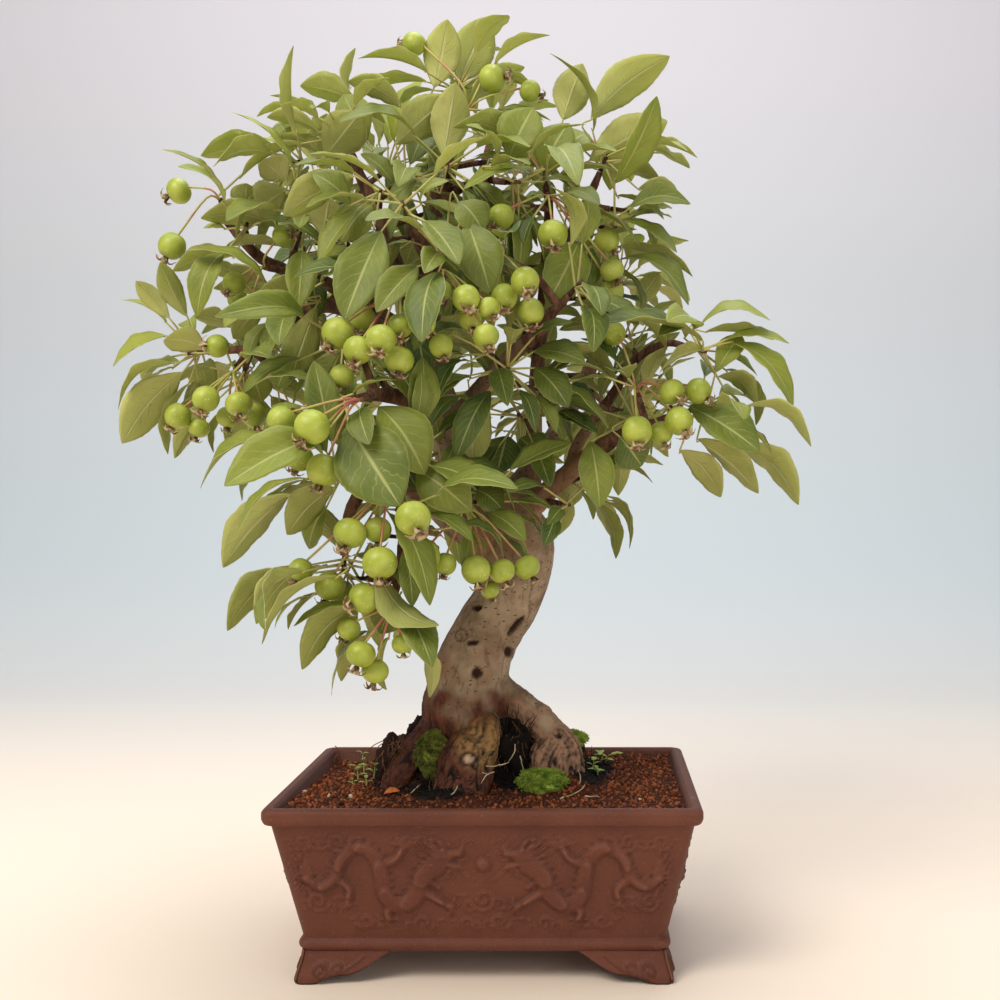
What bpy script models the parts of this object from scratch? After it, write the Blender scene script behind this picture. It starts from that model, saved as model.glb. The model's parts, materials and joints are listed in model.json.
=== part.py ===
"""A flowering-crabapple bonsai with its green fruit, in a rectangular clay pot on four bracket feet.

The tree is one piece of wood: roots, curved trunk, branches and twigs. Each leafy spray and each bunch of
apples is one piece on the end of its twig. Lengths in the tables are millimetres; the model is in metres.
"""

import math
import random

import bmesh
import bpy
from mathutils import Matrix, Vector, noise
from mathutils.bvhtree import BVHTree

MM = 0.001
GAP = 0.3 * MM
ROOT_CLEARANCE = 0.6 * MM
SEED = 9

# The front view that places the tree's parts: where a point drawn across and down a 1000 by 1000 sheet lies,
# once its depth behind the pot's centre is known. The eye is level, in front and a little to the right.
EYE = Vector((54, -730, 248)) * MM
SHEET_FOCAL = 1300
SHEET_CENTRE = 590
SHEET_HORIZON = 497
FLAT_ENOUGH = 0.002

# Pot: half sizes along X and Y at each height of the outside, then of the inside
POT_WALL_OUTSIDE = [
    (15.8, 92.5, 65), (17.2, 94.6, 67.1), (19.4, 95.6, 68.1), (21.4, 95, 67.5), (22.6, 93.4, 66),
    (83, 107, 79.5), (84, 110, 82.5), (86.5, 111, 83.5), (90, 111, 83.5), (91.6, 110, 82.5),
    (92, 108.5, 81),
]
POT_WALL_INSIDE = [(92, 106, 78.5), (90.5, 104.4, 76.9), (84, 101.6, 74), (22.5, 88, 60.5)]
POT_CORNER = 6
POT_CORNER_STEPS = 2
POT_FLOOR = 22.5
DRAIN_RADIUS = 6
DRAIN_ACROSS = 42

# Foot: how far it runs along the pot and how far it flares out, at each height
FOOT_LEVELS = [
    (16.2, 44, 38, 0), (12.4, 40.5, 35, 0.6), (8.8, 36, 31, 1.6), (6, 31, 27, 2.5), (3, 19, 18, 3.4),
    (0, 13, 12.5, 3.2),
]
FOOT_WALL = 8.5
FOOT_CORNER_CUT = 3

# Soil: level at the rim, heaped into a mound round the foot of the trunk, sunk a little at the back left
SOIL_EDGE = 88.5
SOIL_MOUND = 31
MOUND_CENTRE = (-8, 2)
MOUND_HALF = (54, 42)
SOIL_LOW_LEFT = 4.5
SOIL_RINGS = (1, 0.8, 0.64, 0.5, 0.38, 0.26, 0.14)

# Wood: each run of points is across, down, depth, radius
TRUNK_SIDES = 12
ROOT_SIDES = 7
BRANCH_SIDES = 6
TWIG_SIDES = 4
TRUNK = [
    (462, 812, -6, 22), (464, 785, -6, 23), (465, 755, -6, 22.5), (464, 722, -5, 23.5),
    (464, 698, -5, 22.8), (472, 665, -5, 20.6), (489, 630, -5, 18.6), (507, 598, -5, 18.8),
    (514, 570, -5, 21), (511, 545, -5, 23.6), (497, 520, -3, 22), (480, 490, 0, 17.8),
    (460, 450, 3, 14.8), (440, 410, 5, 12.6), (426, 370, 5, 11), (421, 330, 4, 9), (428, 280, 0, 6.6),
    (436, 230, -3, 5), (438, 190, -5, 4.2),
]
ROOTS = {
    "right": [
        (490, 684, -5, 11), (508, 699, -8, 9.5), (530, 714, -10, 9), (550, 731, -12, 9),
        (563, 750, -14, 10.5), (567, 776, -16, 10), (572, 806, -18, 6),
    ],
    "right_toe": [(556, 742, -14, 9), (546, 762, -20, 10), (540, 790, -24, 7)],
    "front": [
        (482, 722, -16, 11), (478, 744, -26, 12), (466, 762, -34, 15), (463, 792, -40, 15),
        (462, 815, -42, 9),
    ],
    "left": [(448, 726, -4, 14), (424, 752, -6, 13), (402, 778, -8, 11), (388, 808, -10, 7)],
    "back": [(480, 706, 8, 16), (490, 736, 22, 15), (496, 764, 34, 12), (500, 796, 44, 7)],
    "back_left": [(460, 716, 8, 14), (438, 746, 20, 13), (418, 772, 30, 10), (404, 804, 38, 6)],
    "back_right": [(492, 704, 6, 11), (524, 730, 16, 11), (546, 758, 24, 9.5), (560, 794, 32, 6)],
}
BRANCHES = {
    "right_low": [
        (512, 522, -8, 9), (534, 505, -12, 6.6), (556, 484, -18, 5.6), (593, 453, -25, 4.7),
        (622, 436, -28, 4), (655, 424, -30, 3.2), (684, 412, -32, 2.4),
    ],
    "right_mid": [
        (568, 474, -20, 3.6), (577, 446, -14, 3.4), (593, 421, -10, 3.1), (612, 396, -6, 2.8),
        (632, 364, -6, 2.5), (655, 345, -10, 2),
    ],
    "right_up": [
        (524, 520, 2, 8), (532, 480, 6, 5.6), (534, 430, 8, 4.7), (537, 370, 8, 4.2),
        (544, 300, 6, 3.8), (548, 240, 2, 3.2), (549, 200, -4, 2.4),
    ],
    "up_right": [(544, 298, 6, 3.6), (562, 255, 2, 3.2), (580, 215, -4, 2.8), (596, 182, -7, 2.2)],
    "front_right": [
        (452, 438, -2, 8), (472, 400, -22, 5.6), (510, 357, -38, 4.4), (534, 336, -45, 3.8),
        (553, 312, -50, 2.8), (564, 301, -53, 2.2),
    ],
    "front_mid": [(424, 335, 0, 6.5), (430, 290, -28, 4.6), (426, 255, -50, 3.6), (414, 226, -64, 2.4)],
    "front_left": [(446, 420, 0, 8), (424, 404, -32, 5.6), (394, 396, -62, 4.2), (370, 394, -80, 3)],
    "left_mid": [
        (436, 391, 5, 7.7), (395, 342, -8, 5.8), (355, 314, -16, 4.8), (323, 306, -22, 4.2),
        (287, 326, -26, 3.4), (261, 339, -28, 2.8), (248, 352, -30, 2.3),
    ],
    "left_up": [
        (424, 352, 4, 7), (380, 315, 6, 5), (330, 285, 6, 4.2), (290, 272, 4, 3.6), (261, 258, 2, 3.2),
        (240, 237, 0, 2.8), (226, 220, -2, 2.4),
    ],
    "mid_up": [
        (422, 325, 2, 6.5), (398, 270, -8, 4.8), (378, 215, -16, 3.8), (360, 175, -18, 3),
        (350, 152, -20, 2.4),
    ],
    "top": [(435, 240, -3, 4.6), (446, 190, -6, 3.6), (455, 145, -8, 2.9), (459, 112, -8, 2.4)],
    "left_low": [
        (498, 540, -10, 11), (460, 528, -32, 7.5), (430, 502, -52, 5.6), (396, 480, -68, 4.6),
        (366, 488, -78, 3.8), (350, 512, -80, 3), (346, 538, -79, 2.4),
    ],
    "low_hang": [(398, 481, -68, 3.4), (402, 520, -74, 2.7), (401, 560, -76, 2.3), (396, 586, -77, 2)],
    "back_left": [
        (440, 402, 12, 8), (400, 342, 40, 5.6), (368, 292, 62, 4.4), (345, 245, 80, 3.4),
        (330, 215, 90, 2.6),
    ],
    "back_right": [
        (500, 515, 12, 10), (545, 450, 38, 6), (580, 390, 62, 4.8), (602, 340, 82, 3.6),
        (612, 306, 92, 2.6),
    ],
    "back_mid": [(428, 320, 8, 6.5), (455, 260, 38, 4.8), (476, 200, 60, 3.8), (486, 158, 70, 2.6)],
    "back_low": [(474, 482, 12, 9), (458, 442, 45, 5.6), (442, 420, 75, 4.2), (428, 404, 96, 2.8)],
}
TWIG_RADIUS_AT_BRANCH = 2.3
TWIG_RADIUS_AT_END = 1.7

# Leafy sprays: the branch that bears the twig, where the twig ends (across, down, depth), how many leaves
# grow by rule, and the leaves whose place is known: stalk end and tip in the front view, depth of the tip
# from the twig's end, width, and how the upper face is turned (0 to the front, 90 up, 180 to the back).
SPRAYS = {
    "top": (
        "top", (460, 98, -9), 5,
        [
            (459, 82, 487, 18, 2, 27, 150), (433, 87, 445, 24, -6, 23, 140),
            (468, 97, 515, 56, 6, 21, 120),
        ],
    ),
    "crown_pale": (
        "mid_up", (399, 184, -26), 3,
        [
            (396, 145, 452, 96, -10, 25, 140), (402, 108, 350, 79, 6, 22, 115),
            (394, 186, 362, 152, -10, 23, 60),
        ],
    ),
    "crown_stem": (
        "top", (447, 172, -28), 3,
        [
            (442, 161, 457, 84, -6, 23, 130), (431, 189, 387, 194, -14, 20, 50),
            (436, 185, 415, 140, -12, 22, 70), (455, 180, 480, 148, -8, 20, 60),
        ],
    ),
    "crown_left": (
        "mid_up", (345, 142, -22), 3,
        [
            (355, 102, 301, 84, 0, 23, 120), (324, 158, 361, 112, -16, 27, 150),
            (319, 133, 268, 115, 4, 19, 110), (374, 138, 358, 84, 8, 22, 30),
        ],
    ),
    "shoulder_left": (
        "mid_up", (312, 162, -18), 4,
        [
            (277, 150, 200, 167, -4, 26, 118), (314, 145, 270, 139, -12, 25, 120),
            (286, 181, 262, 160, -12, 24, 130), (286, 190, 256, 212, -16, 26, 140),
        ],
    ),
    "arch": (
        "mid_up", (380, 193, -52), 3,
        [
            (355, 176, 282, 214, -18, 25, 125), (352, 208, 322, 182, -4, 22, 40),
            (372, 205, 340, 240, -6, 26, 30),
        ],
    ),
    "inner_left": (
        "left_up", (302, 226, -18), 4,
        [
            (282, 226, 205, 211, -6, 21, 112), (322, 236, 330, 198, -20, 27, 150),
            (290, 247, 234, 252, -12, 20, 115),
        ],
    ),
    "far_left": (
        "left_up", (246, 232, -12), 3,
        [
            (226, 229, 203, 227, -4, 12, 60), (248, 256, 189, 281, -12, 22, 118),
            (250, 215, 262, 188, 4, 20, 60),
        ],
    ),
    "pendant_grey": (
        "front_mid", (410, 218, -68), 3,
        [
            (382, 231, 343, 321, -26, 28, 20), (426, 249, 386, 243, -12, 17, 75),
            (420, 205, 446, 178, -8, 20, 60),
        ],
    ),
    "centre": (
        "front_mid", (441, 256, -66), 3,
        [(468, 224, 491, 293, -18, 26, 35), (458, 202, 484, 230, -8, 22, 40)],
    ),
    "centre_top": (
        "top", (506, 182, -40), 4,
        [
            (535, 171, 463, 184, -22, 21, 60), (510, 159, 533, 107, -6, 28, 15),
            (492, 178, 528, 178, -30, 18, 120),
        ],
    ),
    "right_top": (
        "right_up", (546, 186, -16), 4,
        [
            (544, 176, 568, 122, -8, 26, 20), (560, 160, 588, 131, 8, 24, 30),
            (557, 180, 617, 176, -16, 21, 60), (563, 120, 582, 64, 6, 23, 140),
        ],
    ),
    "crown_right": (
        "up_right", (600, 172, -8), 4,
        [
            (581, 133, 647, 70, 0, 25, 128), (589, 161, 667, 120, -10, 27, 145),
            (606, 160, 651, 160, 6, 21, 110), (617, 196, 665, 217, -10, 22, 80),
            (638, 189, 680, 194, 2, 20, 110),
        ],
    ),
    "right_upper": (
        "up_right", (600, 226, -12), 4,
        [
            (622, 219, 678, 251, -8, 24, 70), (622, 240, 693, 251, 6, 24, 95),
            (570, 228, 631, 258, -24, 24, 60), (619, 260, 692, 298, -14, 28, 70),
            (580, 238, 556, 303, -34, 26, 10),
        ],
    ),
    "front_tip": ("front_right", (569, 295, -55), 5, [(590, 300, 640, 322, -10, 22, 60)]),
    "right_far": (
        "right_mid", (690, 348, -26), 3,
        [
            (704, 336, 586, 325, -48, 26, 60), (700, 326, 770, 314, -8, 26, 70),
            (705, 332, 774, 338, 8, 23, 95), (731, 342, 798, 403, -8, 22, 60),
            (717, 377, 759, 400, 4, 26, 105), (705, 350, 658, 370, -20, 25, 112),
        ],
    ),
    "right_low_tip": (
        "right_low", (690, 411, -34), 3,
        [
            (740, 411, 807, 440, 2, 24, 112), (688, 406, 760, 450, -28, 28, 40),
            (732, 448, 802, 499, 4, 26, 118), (697, 439, 760, 492, -8, 25, 120),
            (680, 450, 723, 495, 4, 23, 120),
        ],
    ),
    "right_low_mid": (
        "right_low", (636, 424, -24), 3,
        [(624, 444, 648, 491, -14, 24, 30), (596, 446, 617, 502, 6, 21, 50)],
    ),
    "right_inner": ("right_low", (575, 480, -6), 3, [(571, 486, 591, 524, -8, 20, 100)]),
    "pendant_pale": (
        "front_right", (505, 368, -46), 3,
        [
            (487, 391, 470, 462, -18, 23, 130), (534, 368, 569, 405, -16, 20, 40),
            (533, 352, 585, 360, -18, 22, 50),
        ],
    ),
    "inner_right": (
        "right_up", (524, 420, -10), 4,
        [(508, 436, 497, 472, -18, 24, 15), (520, 438, 543, 460, -16, 24, 15)],
    ),
    "left_outer": (
        "left_mid", (208, 352, -30), 3,
        [
            (167, 336, 111, 364, -4, 25, 62), (205, 350, 165, 339, -14, 25, 125),
            (183, 372, 120, 441, -8, 27, 128), (180, 362, 142, 376, 8, 22, 60),
        ],
    ),
    "left_tip": (
        "left_mid", (246, 366, -22), 3,
        [(234, 328, 195, 315, -6, 22, 115), (252, 372, 262, 402, 6, 18, 40)],
    ),
    "left_middle": (
        "left_mid", (292, 312, -34), 4,
        [
            (265, 306, 232, 338, -10, 23, 120), (310, 300, 258, 290, -12, 25, 120),
            (316, 306, 289, 382, -16, 21, 140), (300, 350, 276, 388, 4, 22, 40),
        ],
    ),
    "centre_left": ("left_mid", (354, 338, -44), 4, [(344, 346, 317, 400, -14, 21, 140)]),
    "front_big": (
        "front_left", (359, 397, -84), 3,
        [
            (349, 424, 402, 506, -34, 39, 12), (328, 452, 247, 492, -14, 26, 60),
            (285, 442, 195, 481, 2, 24, 66), (275, 455, 237, 499, 12, 22, 50),
            (383, 404, 430, 464, -12, 30, 30), (362, 388, 400, 357, -14, 17, 60),
        ],
    ),
    "low_right": (
        "left_low", (404, 462, -80), 3,
        [
            (412, 467, 462, 507, -20, 27, 35), (430, 485, 458, 512, 4, 24, 20),
            (436, 458, 478, 490, 4, 26, 40),
        ],
    ),
    "low_left": (
        "left_low", (347, 480, -84), 3,
        [
            (292, 494, 221, 565, -4, 25, 122), (335, 487, 285, 533, -12, 26, 126),
            (322, 502, 304, 546, 8, 22, 50),
        ],
    ),
    "low_tip": (
        "left_low", (345, 552, -80), 3,
        [
            (300, 575, 225, 624, 6, 24, 120), (310, 565, 253, 620, -6, 23, 124),
            (335, 569, 260, 634, -14, 25, 122),
        ],
    ),
    "hang_middle": ("low_hang", (399, 510, -84), 3, [(396, 514, 432, 615, -26, 20, 118)]),
    "hang_tip": (
        "low_hang", (395, 596, -78), 3,
        [(397, 600, 381, 636, -6, 21, 20), (362, 606, 299, 666, -10, 25, 122)],
    ),
    "trunk_front": (
        "left_low", (464, 504, -56), 3,
        [(487, 508, 524, 529, -12, 17, 50), (476, 490, 503, 508, -6, 19, 40)],
    ),
    "behind_left": ("back_left", (326, 205, 92), 7, []),
    "behind_left_low": ("back_left", (352, 300, 84), 6, []),
    "behind_left_top": ("back_left", (380, 175, 64), 6, []),
    "behind_top": ("back_mid", (488, 146, 74), 7, []),
    "behind_middle": ("back_mid", (455, 245, 92), 6, []),
    "behind_right": ("back_right", (616, 292, 96), 7, []),
    "behind_right_low": ("back_right", (600, 400, 84), 6, []),
    "behind_low": ("back_low", (424, 396, 102), 7, []),
}
SHOOT_LENGTH = 11
SHOOT_RADII = (1.7, 1.1)
SHOOT_SIDES = 4
LEAF_LENGTH = (31, 46)
LEAF_WIDTH_TO_LENGTH = (0.38, 0.5)
STALK_LENGTH = (14, 24)
STALK_RADIUS = 0.75
BLADE_THICKNESS = 1.1
BLADE_STATIONS = (0.28, 0.66)
# How each kind of leaf bends, as shares of its length: rise of its arch, fold of its halves, roll of its tip
LEAF_BENDS = [
    (0.09, 0.12, 0.05), (0.14, 0.09, 0.09), (0.05, 0.16, 0.03), (0.18, 0.13, 0.10), (0.12, 0.05, 0.07),
    (0.07, 0.20, 0.05),
]
# What no leaf grown by rule hides in the front view: the trunk and the collar of its roots, each as the
# middle and the half sizes of an oval, and every apple, as far round its centre as this
OPEN_OVALS = [((482, 640), (52, 66)), ((500, 735), (90, 60))]
OPEN_ROUND_APPLES = 14
CROWN_TOP = 508
REDRAWS = 12

# Bunches of apples: the branch, the twig's end, and each apple's centre (across, down, depth) and radius
BUNCHES = {
    "far_left": ("left_up", (222, 204, -12), [(179, 191, -14, 7.2), (172, 246, -18, 7.6)]),
    "top": ("top", (466, 112, -20), [(492, 79, -24, 8), (530, 91, -20, 6.2), (414, 44, -14, 6.6)]),
    "centre_left": (
        "front_mid", (408, 284, -66),
        [
            (338, 333, -92, 7.9), (358, 350, -104, 7.2), (381, 339, -112, 7.2), (400, 326, -98, 6.4),
            (422, 322, -106, 6.8), (362, 318, -76, 6.8), (399, 360, -104, 7.2), (441, 346, -92, 6),
            (342, 376, -84, 6),
        ],
    ),
    "centre": (
        "front_mid", (441, 268, -72),
        [
            (440, 290, -96, 5.6), (466, 298, -108, 6.6), (489, 308, -104, 5.4), (486, 336, -108, 6.2),
            (470, 318, -88, 5.8),
        ],
    ),
    "centre_right": (
        "front_right", (512, 262, -60),
        [(525, 281, -92, 7.2), (504, 297, -82, 6.8), (530, 312, -74, 7.2)],
    ),
    "right_top": (
        "right_up", (548, 196, -34),
        [
            (501, 217, -60, 6.8), (553, 234, -66, 7.6), (607, 240, -30, 6.8), (612, 270, -34, 6.6),
            (612, 291, -24, 6.6),
        ],
    ),
    "left_inner": (
        "left_up", (268, 268, -14), [(234, 283, -26, 6.2), (238, 300, -8, 6), (284, 236, -26, 6.4)],
    ),
    "left_branch": (
        "left_mid", (238, 366, -42),
        [
            (178, 416, -44, 7), (206, 399, -56, 7), (199, 428, -40, 5.8), (239, 404, -60, 7),
            (228, 417, -40, 6), (254, 415, -44, 6.6), (217, 346, -50, 6.2),
        ],
    ),
    "front_left": (
        "front_left", (362, 399, -98),
        [(282, 420, -104, 7.2), (312, 427, -118, 8.4), (324, 470, -104, 8.6), (300, 458, -88, 6.6)],
    ),
    "low": (
        "left_low", (377, 492, -92),
        [
            (350, 533, -108, 8), (378, 530, -100, 6.6), (413, 518, -124, 8.4), (380, 563, -104, 8.4),
            (330, 586, -104, 7.4), (301, 570, -96, 6.2), (340, 592, -90, 7),
        ],
    ),
    "low_tip": (
        "low_hang", (394, 598, -88),
        [
            (364, 598, -98, 7.6), (349, 629, -86, 5.8), (361, 654, -96, 7.4), (375, 671, -88, 6.8),
            (402, 644, -90, 5.2),
        ],
    ),
    "trunk": (
        "left_low", (458, 508, -68),
        [
            (425, 556, -92, 7.6), (445, 564, -82, 5.8), (476, 570, -84, 7.4), (502, 571, -78, 6.8),
            (527, 567, -72, 6.8), (490, 590, -70, 4.6),
        ],
    ),
    "right": (
        "right_low", (638, 396, -42),
        [
            (637, 431, -70, 7.8), (661, 433, -54, 6.4), (679, 421, -68, 7.4), (672, 392, -62, 6.8),
            (698, 391, -54, 6.8), (614, 334, -30, 6.6),
        ],
    ),
    "behind": (
        "back_left", (372, 262, 96),
        [(352, 318, 112, 7), (384, 322, 118, 7.2), (410, 306, 112, 6.6), (336, 300, 104, 6.4)],
    ),
}
APPLE_SIDES = 5
APPLE_PROFILE = [(0, 0.84), (0.8, 0.62), (1.0, -0.22), (0.36, -0.95), (0.34, -1.26), (0, -1.04)]
PEDICEL_RADIUS = 0.75
PEDICEL_SIDES = 3
PEDICEL_STEPS = 2
KNOB_RADII = (2, 1.5)
KNOB_LENGTH = 3.5

# Moss cushions on the soil: centre (across, down, depth) and half sizes
MOSS = {
    "front": ((542, 785, -34), (14, 8, 8)),
    "left": ((433, 757, -34), (8.5, 6, 13)),
    "right": ((570, 741, -2), (9, 7, 5)),
}


def clear_scene():
    for obj in list(bpy.data.objects):
        bpy.data.objects.remove(obj)


def material(name, colour, roughness):
    made = bpy.data.materials.new(name)
    made.use_nodes = True
    shader = made.node_tree.nodes["Principled BSDF"]
    shader.inputs["Base Color"].default_value = (*colour, 1)
    shader.inputs["Roughness"].default_value = roughness
    shader.inputs["Metallic"].default_value = 0
    return made


def seen(across, down, depth):
    """The point of the front view that lies this many millimetres behind the pot's centre."""
    reach = (depth * MM - EYE.y) / SHEET_FOCAL
    x, z = EYE.x + (across - SHEET_CENTRE) * reach, EYE.z - (down - SHEET_HORIZON) * reach
    return Vector((x, depth * MM, z))


def on_sheet(point):
    """Where a point of the room lies in the front view."""
    reach = (point.y - EYE.y) / SHEET_FOCAL
    return SHEET_CENTRE + (point.x - EYE.x) / reach, SHEET_HORIZON - (point.z - EYE.z) / reach


def mesh_of(verts, faces):
    """A closed shell as a plain mesh, its faces turned outwards."""
    shell = bmesh.new()
    points = [shell.verts.new(v) for v in verts]
    for face in faces:
        shell.faces.new([points[i] for i in face])
    bmesh.ops.recalc_face_normals(shell, faces=shell.faces)
    mesh = bpy.data.meshes.new("shell")
    shell.to_mesh(mesh)
    shell.free()
    return mesh


def piece(name, mesh, paint):
    obj = bpy.data.objects.new(name, mesh)
    obj.data.materials.clear()
    obj.data.materials.append(paint)
    bpy.context.scene.collection.objects.link(obj)
    return obj


def boolean(obj, operation, shells, solver="EXACT"):
    """Joins the shells to the object, or cuts them from it, with one applied Boolean on a collection."""
    group = bpy.data.collections.new("operands")
    bpy.context.scene.collection.children.link(group)
    for verts, faces in shells:
        group.objects.link(bpy.data.objects.new("operand", mesh_of(verts, faces)))
    modifier = obj.modifiers.new(operation.lower(), "BOOLEAN")
    modifier.operation = operation
    modifier.operand_type = "COLLECTION"
    modifier.collection = group
    modifier.solver = solver
    bpy.context.view_layer.update()
    graph = bpy.context.evaluated_depsgraph_get()
    result = bpy.data.meshes.new_from_object(obj.evaluated_get(graph))
    obj.modifiers.clear()
    obj.data = result
    for operand in list(group.objects):
        bpy.data.objects.remove(operand)
    bpy.data.collections.remove(group)


def tidied(joined_mesh, flatten):
    """The join's outer skin, without the sealed hollows that crossing leaves leave between them.
    flatten makes one face again of each flat one that the join cut up."""
    mesh = bmesh.new()
    mesh.from_mesh(joined_mesh)
    unseen = set(mesh.faces)
    shells = []
    while unseen:
        shell, front = [], [unseen.pop()]
        while front:
            face = front.pop()
            shell.append(face)
            for edge in face.edges:
                for other in edge.link_faces:
                    if other in unseen:
                        unseen.remove(other)
                        front.append(other)
        shells.append((volume_of(shell), shell))
    for _, shell in sorted(shells, key=lambda item: item[0])[:-1]:
        bmesh.ops.delete(mesh, geom=shell, context="FACES")
    if flatten:
        bmesh.ops.dissolve_limit(mesh, angle_limit=FLAT_ENOUGH, verts=mesh.verts, edges=mesh.edges)
    bmesh.ops.triangulate(mesh, faces=mesh.faces)
    result = bpy.data.meshes.new("joined")
    mesh.to_mesh(result)
    mesh.free()
    return result


def volume_of(faces):
    """Six times the volume inside a closed shell, below zero where its faces look inwards."""
    total = 0.0
    for face in faces:
        first, *rest = [v.co for v in face.verts]
        total += sum(first.dot(b.cross(c)) for b, c in zip(rest, rest[1:]))
    return total


def triangles_of(obj):
    return sum(len(face.vertices) - 2 for face in obj.data.polygons)


def sound(result):
    """Whether every edge has just its two faces, and none is too short to tell."""
    mesh = bmesh.new()
    mesh.from_mesh(result)
    good = all(len(edge.link_faces) == 2 and edge.calc_length() > 0.0002 * MM for edge in mesh.edges)
    mesh.free()
    return good


def joined(name, shells, paint):
    """One piece from shells that run into the first. A shell that would spoil the join is left out."""
    whole = [("EXACT", None), ("MANIFOLD", None)]
    for solver, left_out in whole + [("MANIFOLD", k) for k in range(1, len(shells))]:
        obj = piece(name, mesh_of(*shells[0]), paint)
        boolean(obj, "UNION", [shell for k, shell in enumerate(shells) if k not in (0, left_out)], solver)
        for flatten in (True, False):
            result = tidied(obj.data, flatten)
            if sound(result):
                obj.data = result
                return obj
        bpy.data.objects.remove(obj)
    raise ValueError("no sound join for " + name)


def smooth_run(points, steps):
    """Points along a smooth curve through the given ones, each carrying its radius as a fourth number."""
    rows = [tuple(p) for p in points]
    before, after = (tuple(2 * a - b for a, b in zip(*pair)) for pair in (rows[:2], rows[:-3:-1]))
    rows = [before, *rows, after]
    run = []
    for k in range(1, len(rows) - 2):
        p0, p1, p2, p3 = rows[k - 1 : k + 3]
        for step in range(steps):
            t = step / steps
            run.append(tuple(
                b + 0.5 * t * (c - a + t * (2 * a - 5 * b + 4 * c - d + t * (3 * b - a - 3 * c + d)))
                for a, b, c, d in zip(p0, p1, p2, p3)
            ))
    run.append(rows[-2])
    return run


def rings_along(points):
    """A point, a radius and two cross directions for each station of a run, turning as little as it can."""
    centres = [Vector(p[:3]) for p in points]
    across = None
    stations = []
    for k, centre in enumerate(centres):
        ahead = (centres[min(k + 1, len(centres) - 1)] - centres[max(k - 1, 0)]).normalized()
        if across is None:
            across = ahead.orthogonal()
        across = (across - across.dot(ahead) * ahead).normalized()
        stations.append((centre, points[k][3], across, ahead.cross(across)))
    return stations


def tube(points, sides, swell=None, grow=0.0):
    """A closed tube along points (x, y, z, radius). swell shapes each ring, grow adds to its radius."""
    verts = []
    for centre, radius, side, up in rings_along(points):
        for j in range(sides):
            turn = 2 * math.pi * j / sides
            out = side * math.cos(turn) + up * math.sin(turn)
            reach = radius * (swell(centre, out) if swell else 1) + grow
            verts.append(centre + out * reach)
    rings = len(points)
    faces = [
        (k * sides + j, k * sides + (j + 1) % sides, (k + 1) * sides + (j + 1) % sides, (k + 1) * sides + j)
        for k in range(rings - 1)
        for j in range(sides)
    ]
    faces.append(tuple(range(sides)))
    faces.append(tuple(range((rings - 1) * sides, rings * sides)))
    return verts, faces


def run_of(rows, steps):
    placed = [(*seen(*row[:3]), row[3] * MM) for row in rows]
    return smooth_run(placed, steps)


def bark_swell(centre, out):
    """Burrs and hollows of the old wood."""
    return 1 + 0.09 * noise.noise((centre + out * 0.012) * 55)


def wood_shells(grow=0.0):
    """The trunk and its roots, and every branch, as closed tubes."""
    shells = [tube(run_of(TRUNK, 1), TRUNK_SIDES, bark_swell, grow)]
    shells += [tube(run_of(rows, 1), ROOT_SIDES, bark_swell, grow) for rows in ROOTS.values()]
    if not grow:
        shells += [tube(run_of(rows, 1), BRANCH_SIDES) for rows in BRANCHES.values()]
    return shells


def twig_from(branch, end):
    """A twig's run, from inside the branch that bears it to its end, bowed a little upwards."""
    stations = run_of(BRANCHES[branch], 4)
    start = min(stations[2:-1], key=lambda p: (Vector(p[:3]) - end).length + max(0.0, p[2] - end.z))
    root = Vector(start[:3])
    root += (end - root).normalized() * 0.4 * MM
    middle = (root + end) / 2 + Vector((0, 0, 0.12 * (end - root).length))
    bow = [(*middle, 2 * MM)] if (end - root).length > 24 * MM else []
    return [(*root, TWIG_RADIUS_AT_BRANCH * MM), *bow, (*end, TWIG_RADIUS_AT_END * MM)]


def twig_heading(run):
    return (Vector(run[-1][:3]) - Vector(run[-2][:3])).normalized()


class Taken:
    """The space that pieces hold already, so that a new one can be bent clear of them."""

    def __init__(self):
        self.held = []

    @staticmethod
    def tree(shell):
        verts, faces = shell
        low = Vector(min(v[i] for v in verts) for i in range(3))
        high = Vector(max(v[i] for v in verts) for i in range(3))
        return low, high, BVHTree.FromPolygons([tuple(v) for v in verts], faces)

    def add(self, shell, owner):
        self.held.append((*self.tree(shell), owner))

    def free(self, shell, skip=()):
        low, high, tree = self.tree(shell)
        for other_low, other_high, other, owner in self.held:
            if owner in skip or any(low[i] > other_high[i] or high[i] < other_low[i] for i in range(3)):
                continue
            if tree.overlap(other):
                return False
        return True


def half_width(s):
    """Half of the width at a share s of the length, for a blade 1 wide: round foot, drawn-out tip."""
    return 0.5 * math.sin(math.pi * s) ** (0.62 + 0.55 * s) if 0 < s < 1 else 0.0


def blade_point(s, u, bend):
    """Where the blade's surface lies, in shares of its length (x, z) and of its width (y)."""
    arch, fold, roll = bend
    rise = arch * math.sin(math.pi * s ** 0.9) - roll * s ** 3
    return s, u * half_width(s), rise + fold * abs(u) * half_width(s)


def leaf_frame(base, tip, facing):
    """The blade's axes: along it, across it, and out of its upper face."""
    along = tip - base
    out = (facing - facing.dot(along.normalized()) * along.normalized()).normalized()
    return along, out.cross(along).normalized(), out


def stalk_points(root, base, along):
    """The leaf stalk's points. One that would double back gets a knee behind the blade's base."""
    stalk = base - root
    if stalk.normalized().dot(along) > 0.35:
        return [root, base]
    return [root, base - along * min(6 * MM, 0.5 * stalk.length), base]


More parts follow.
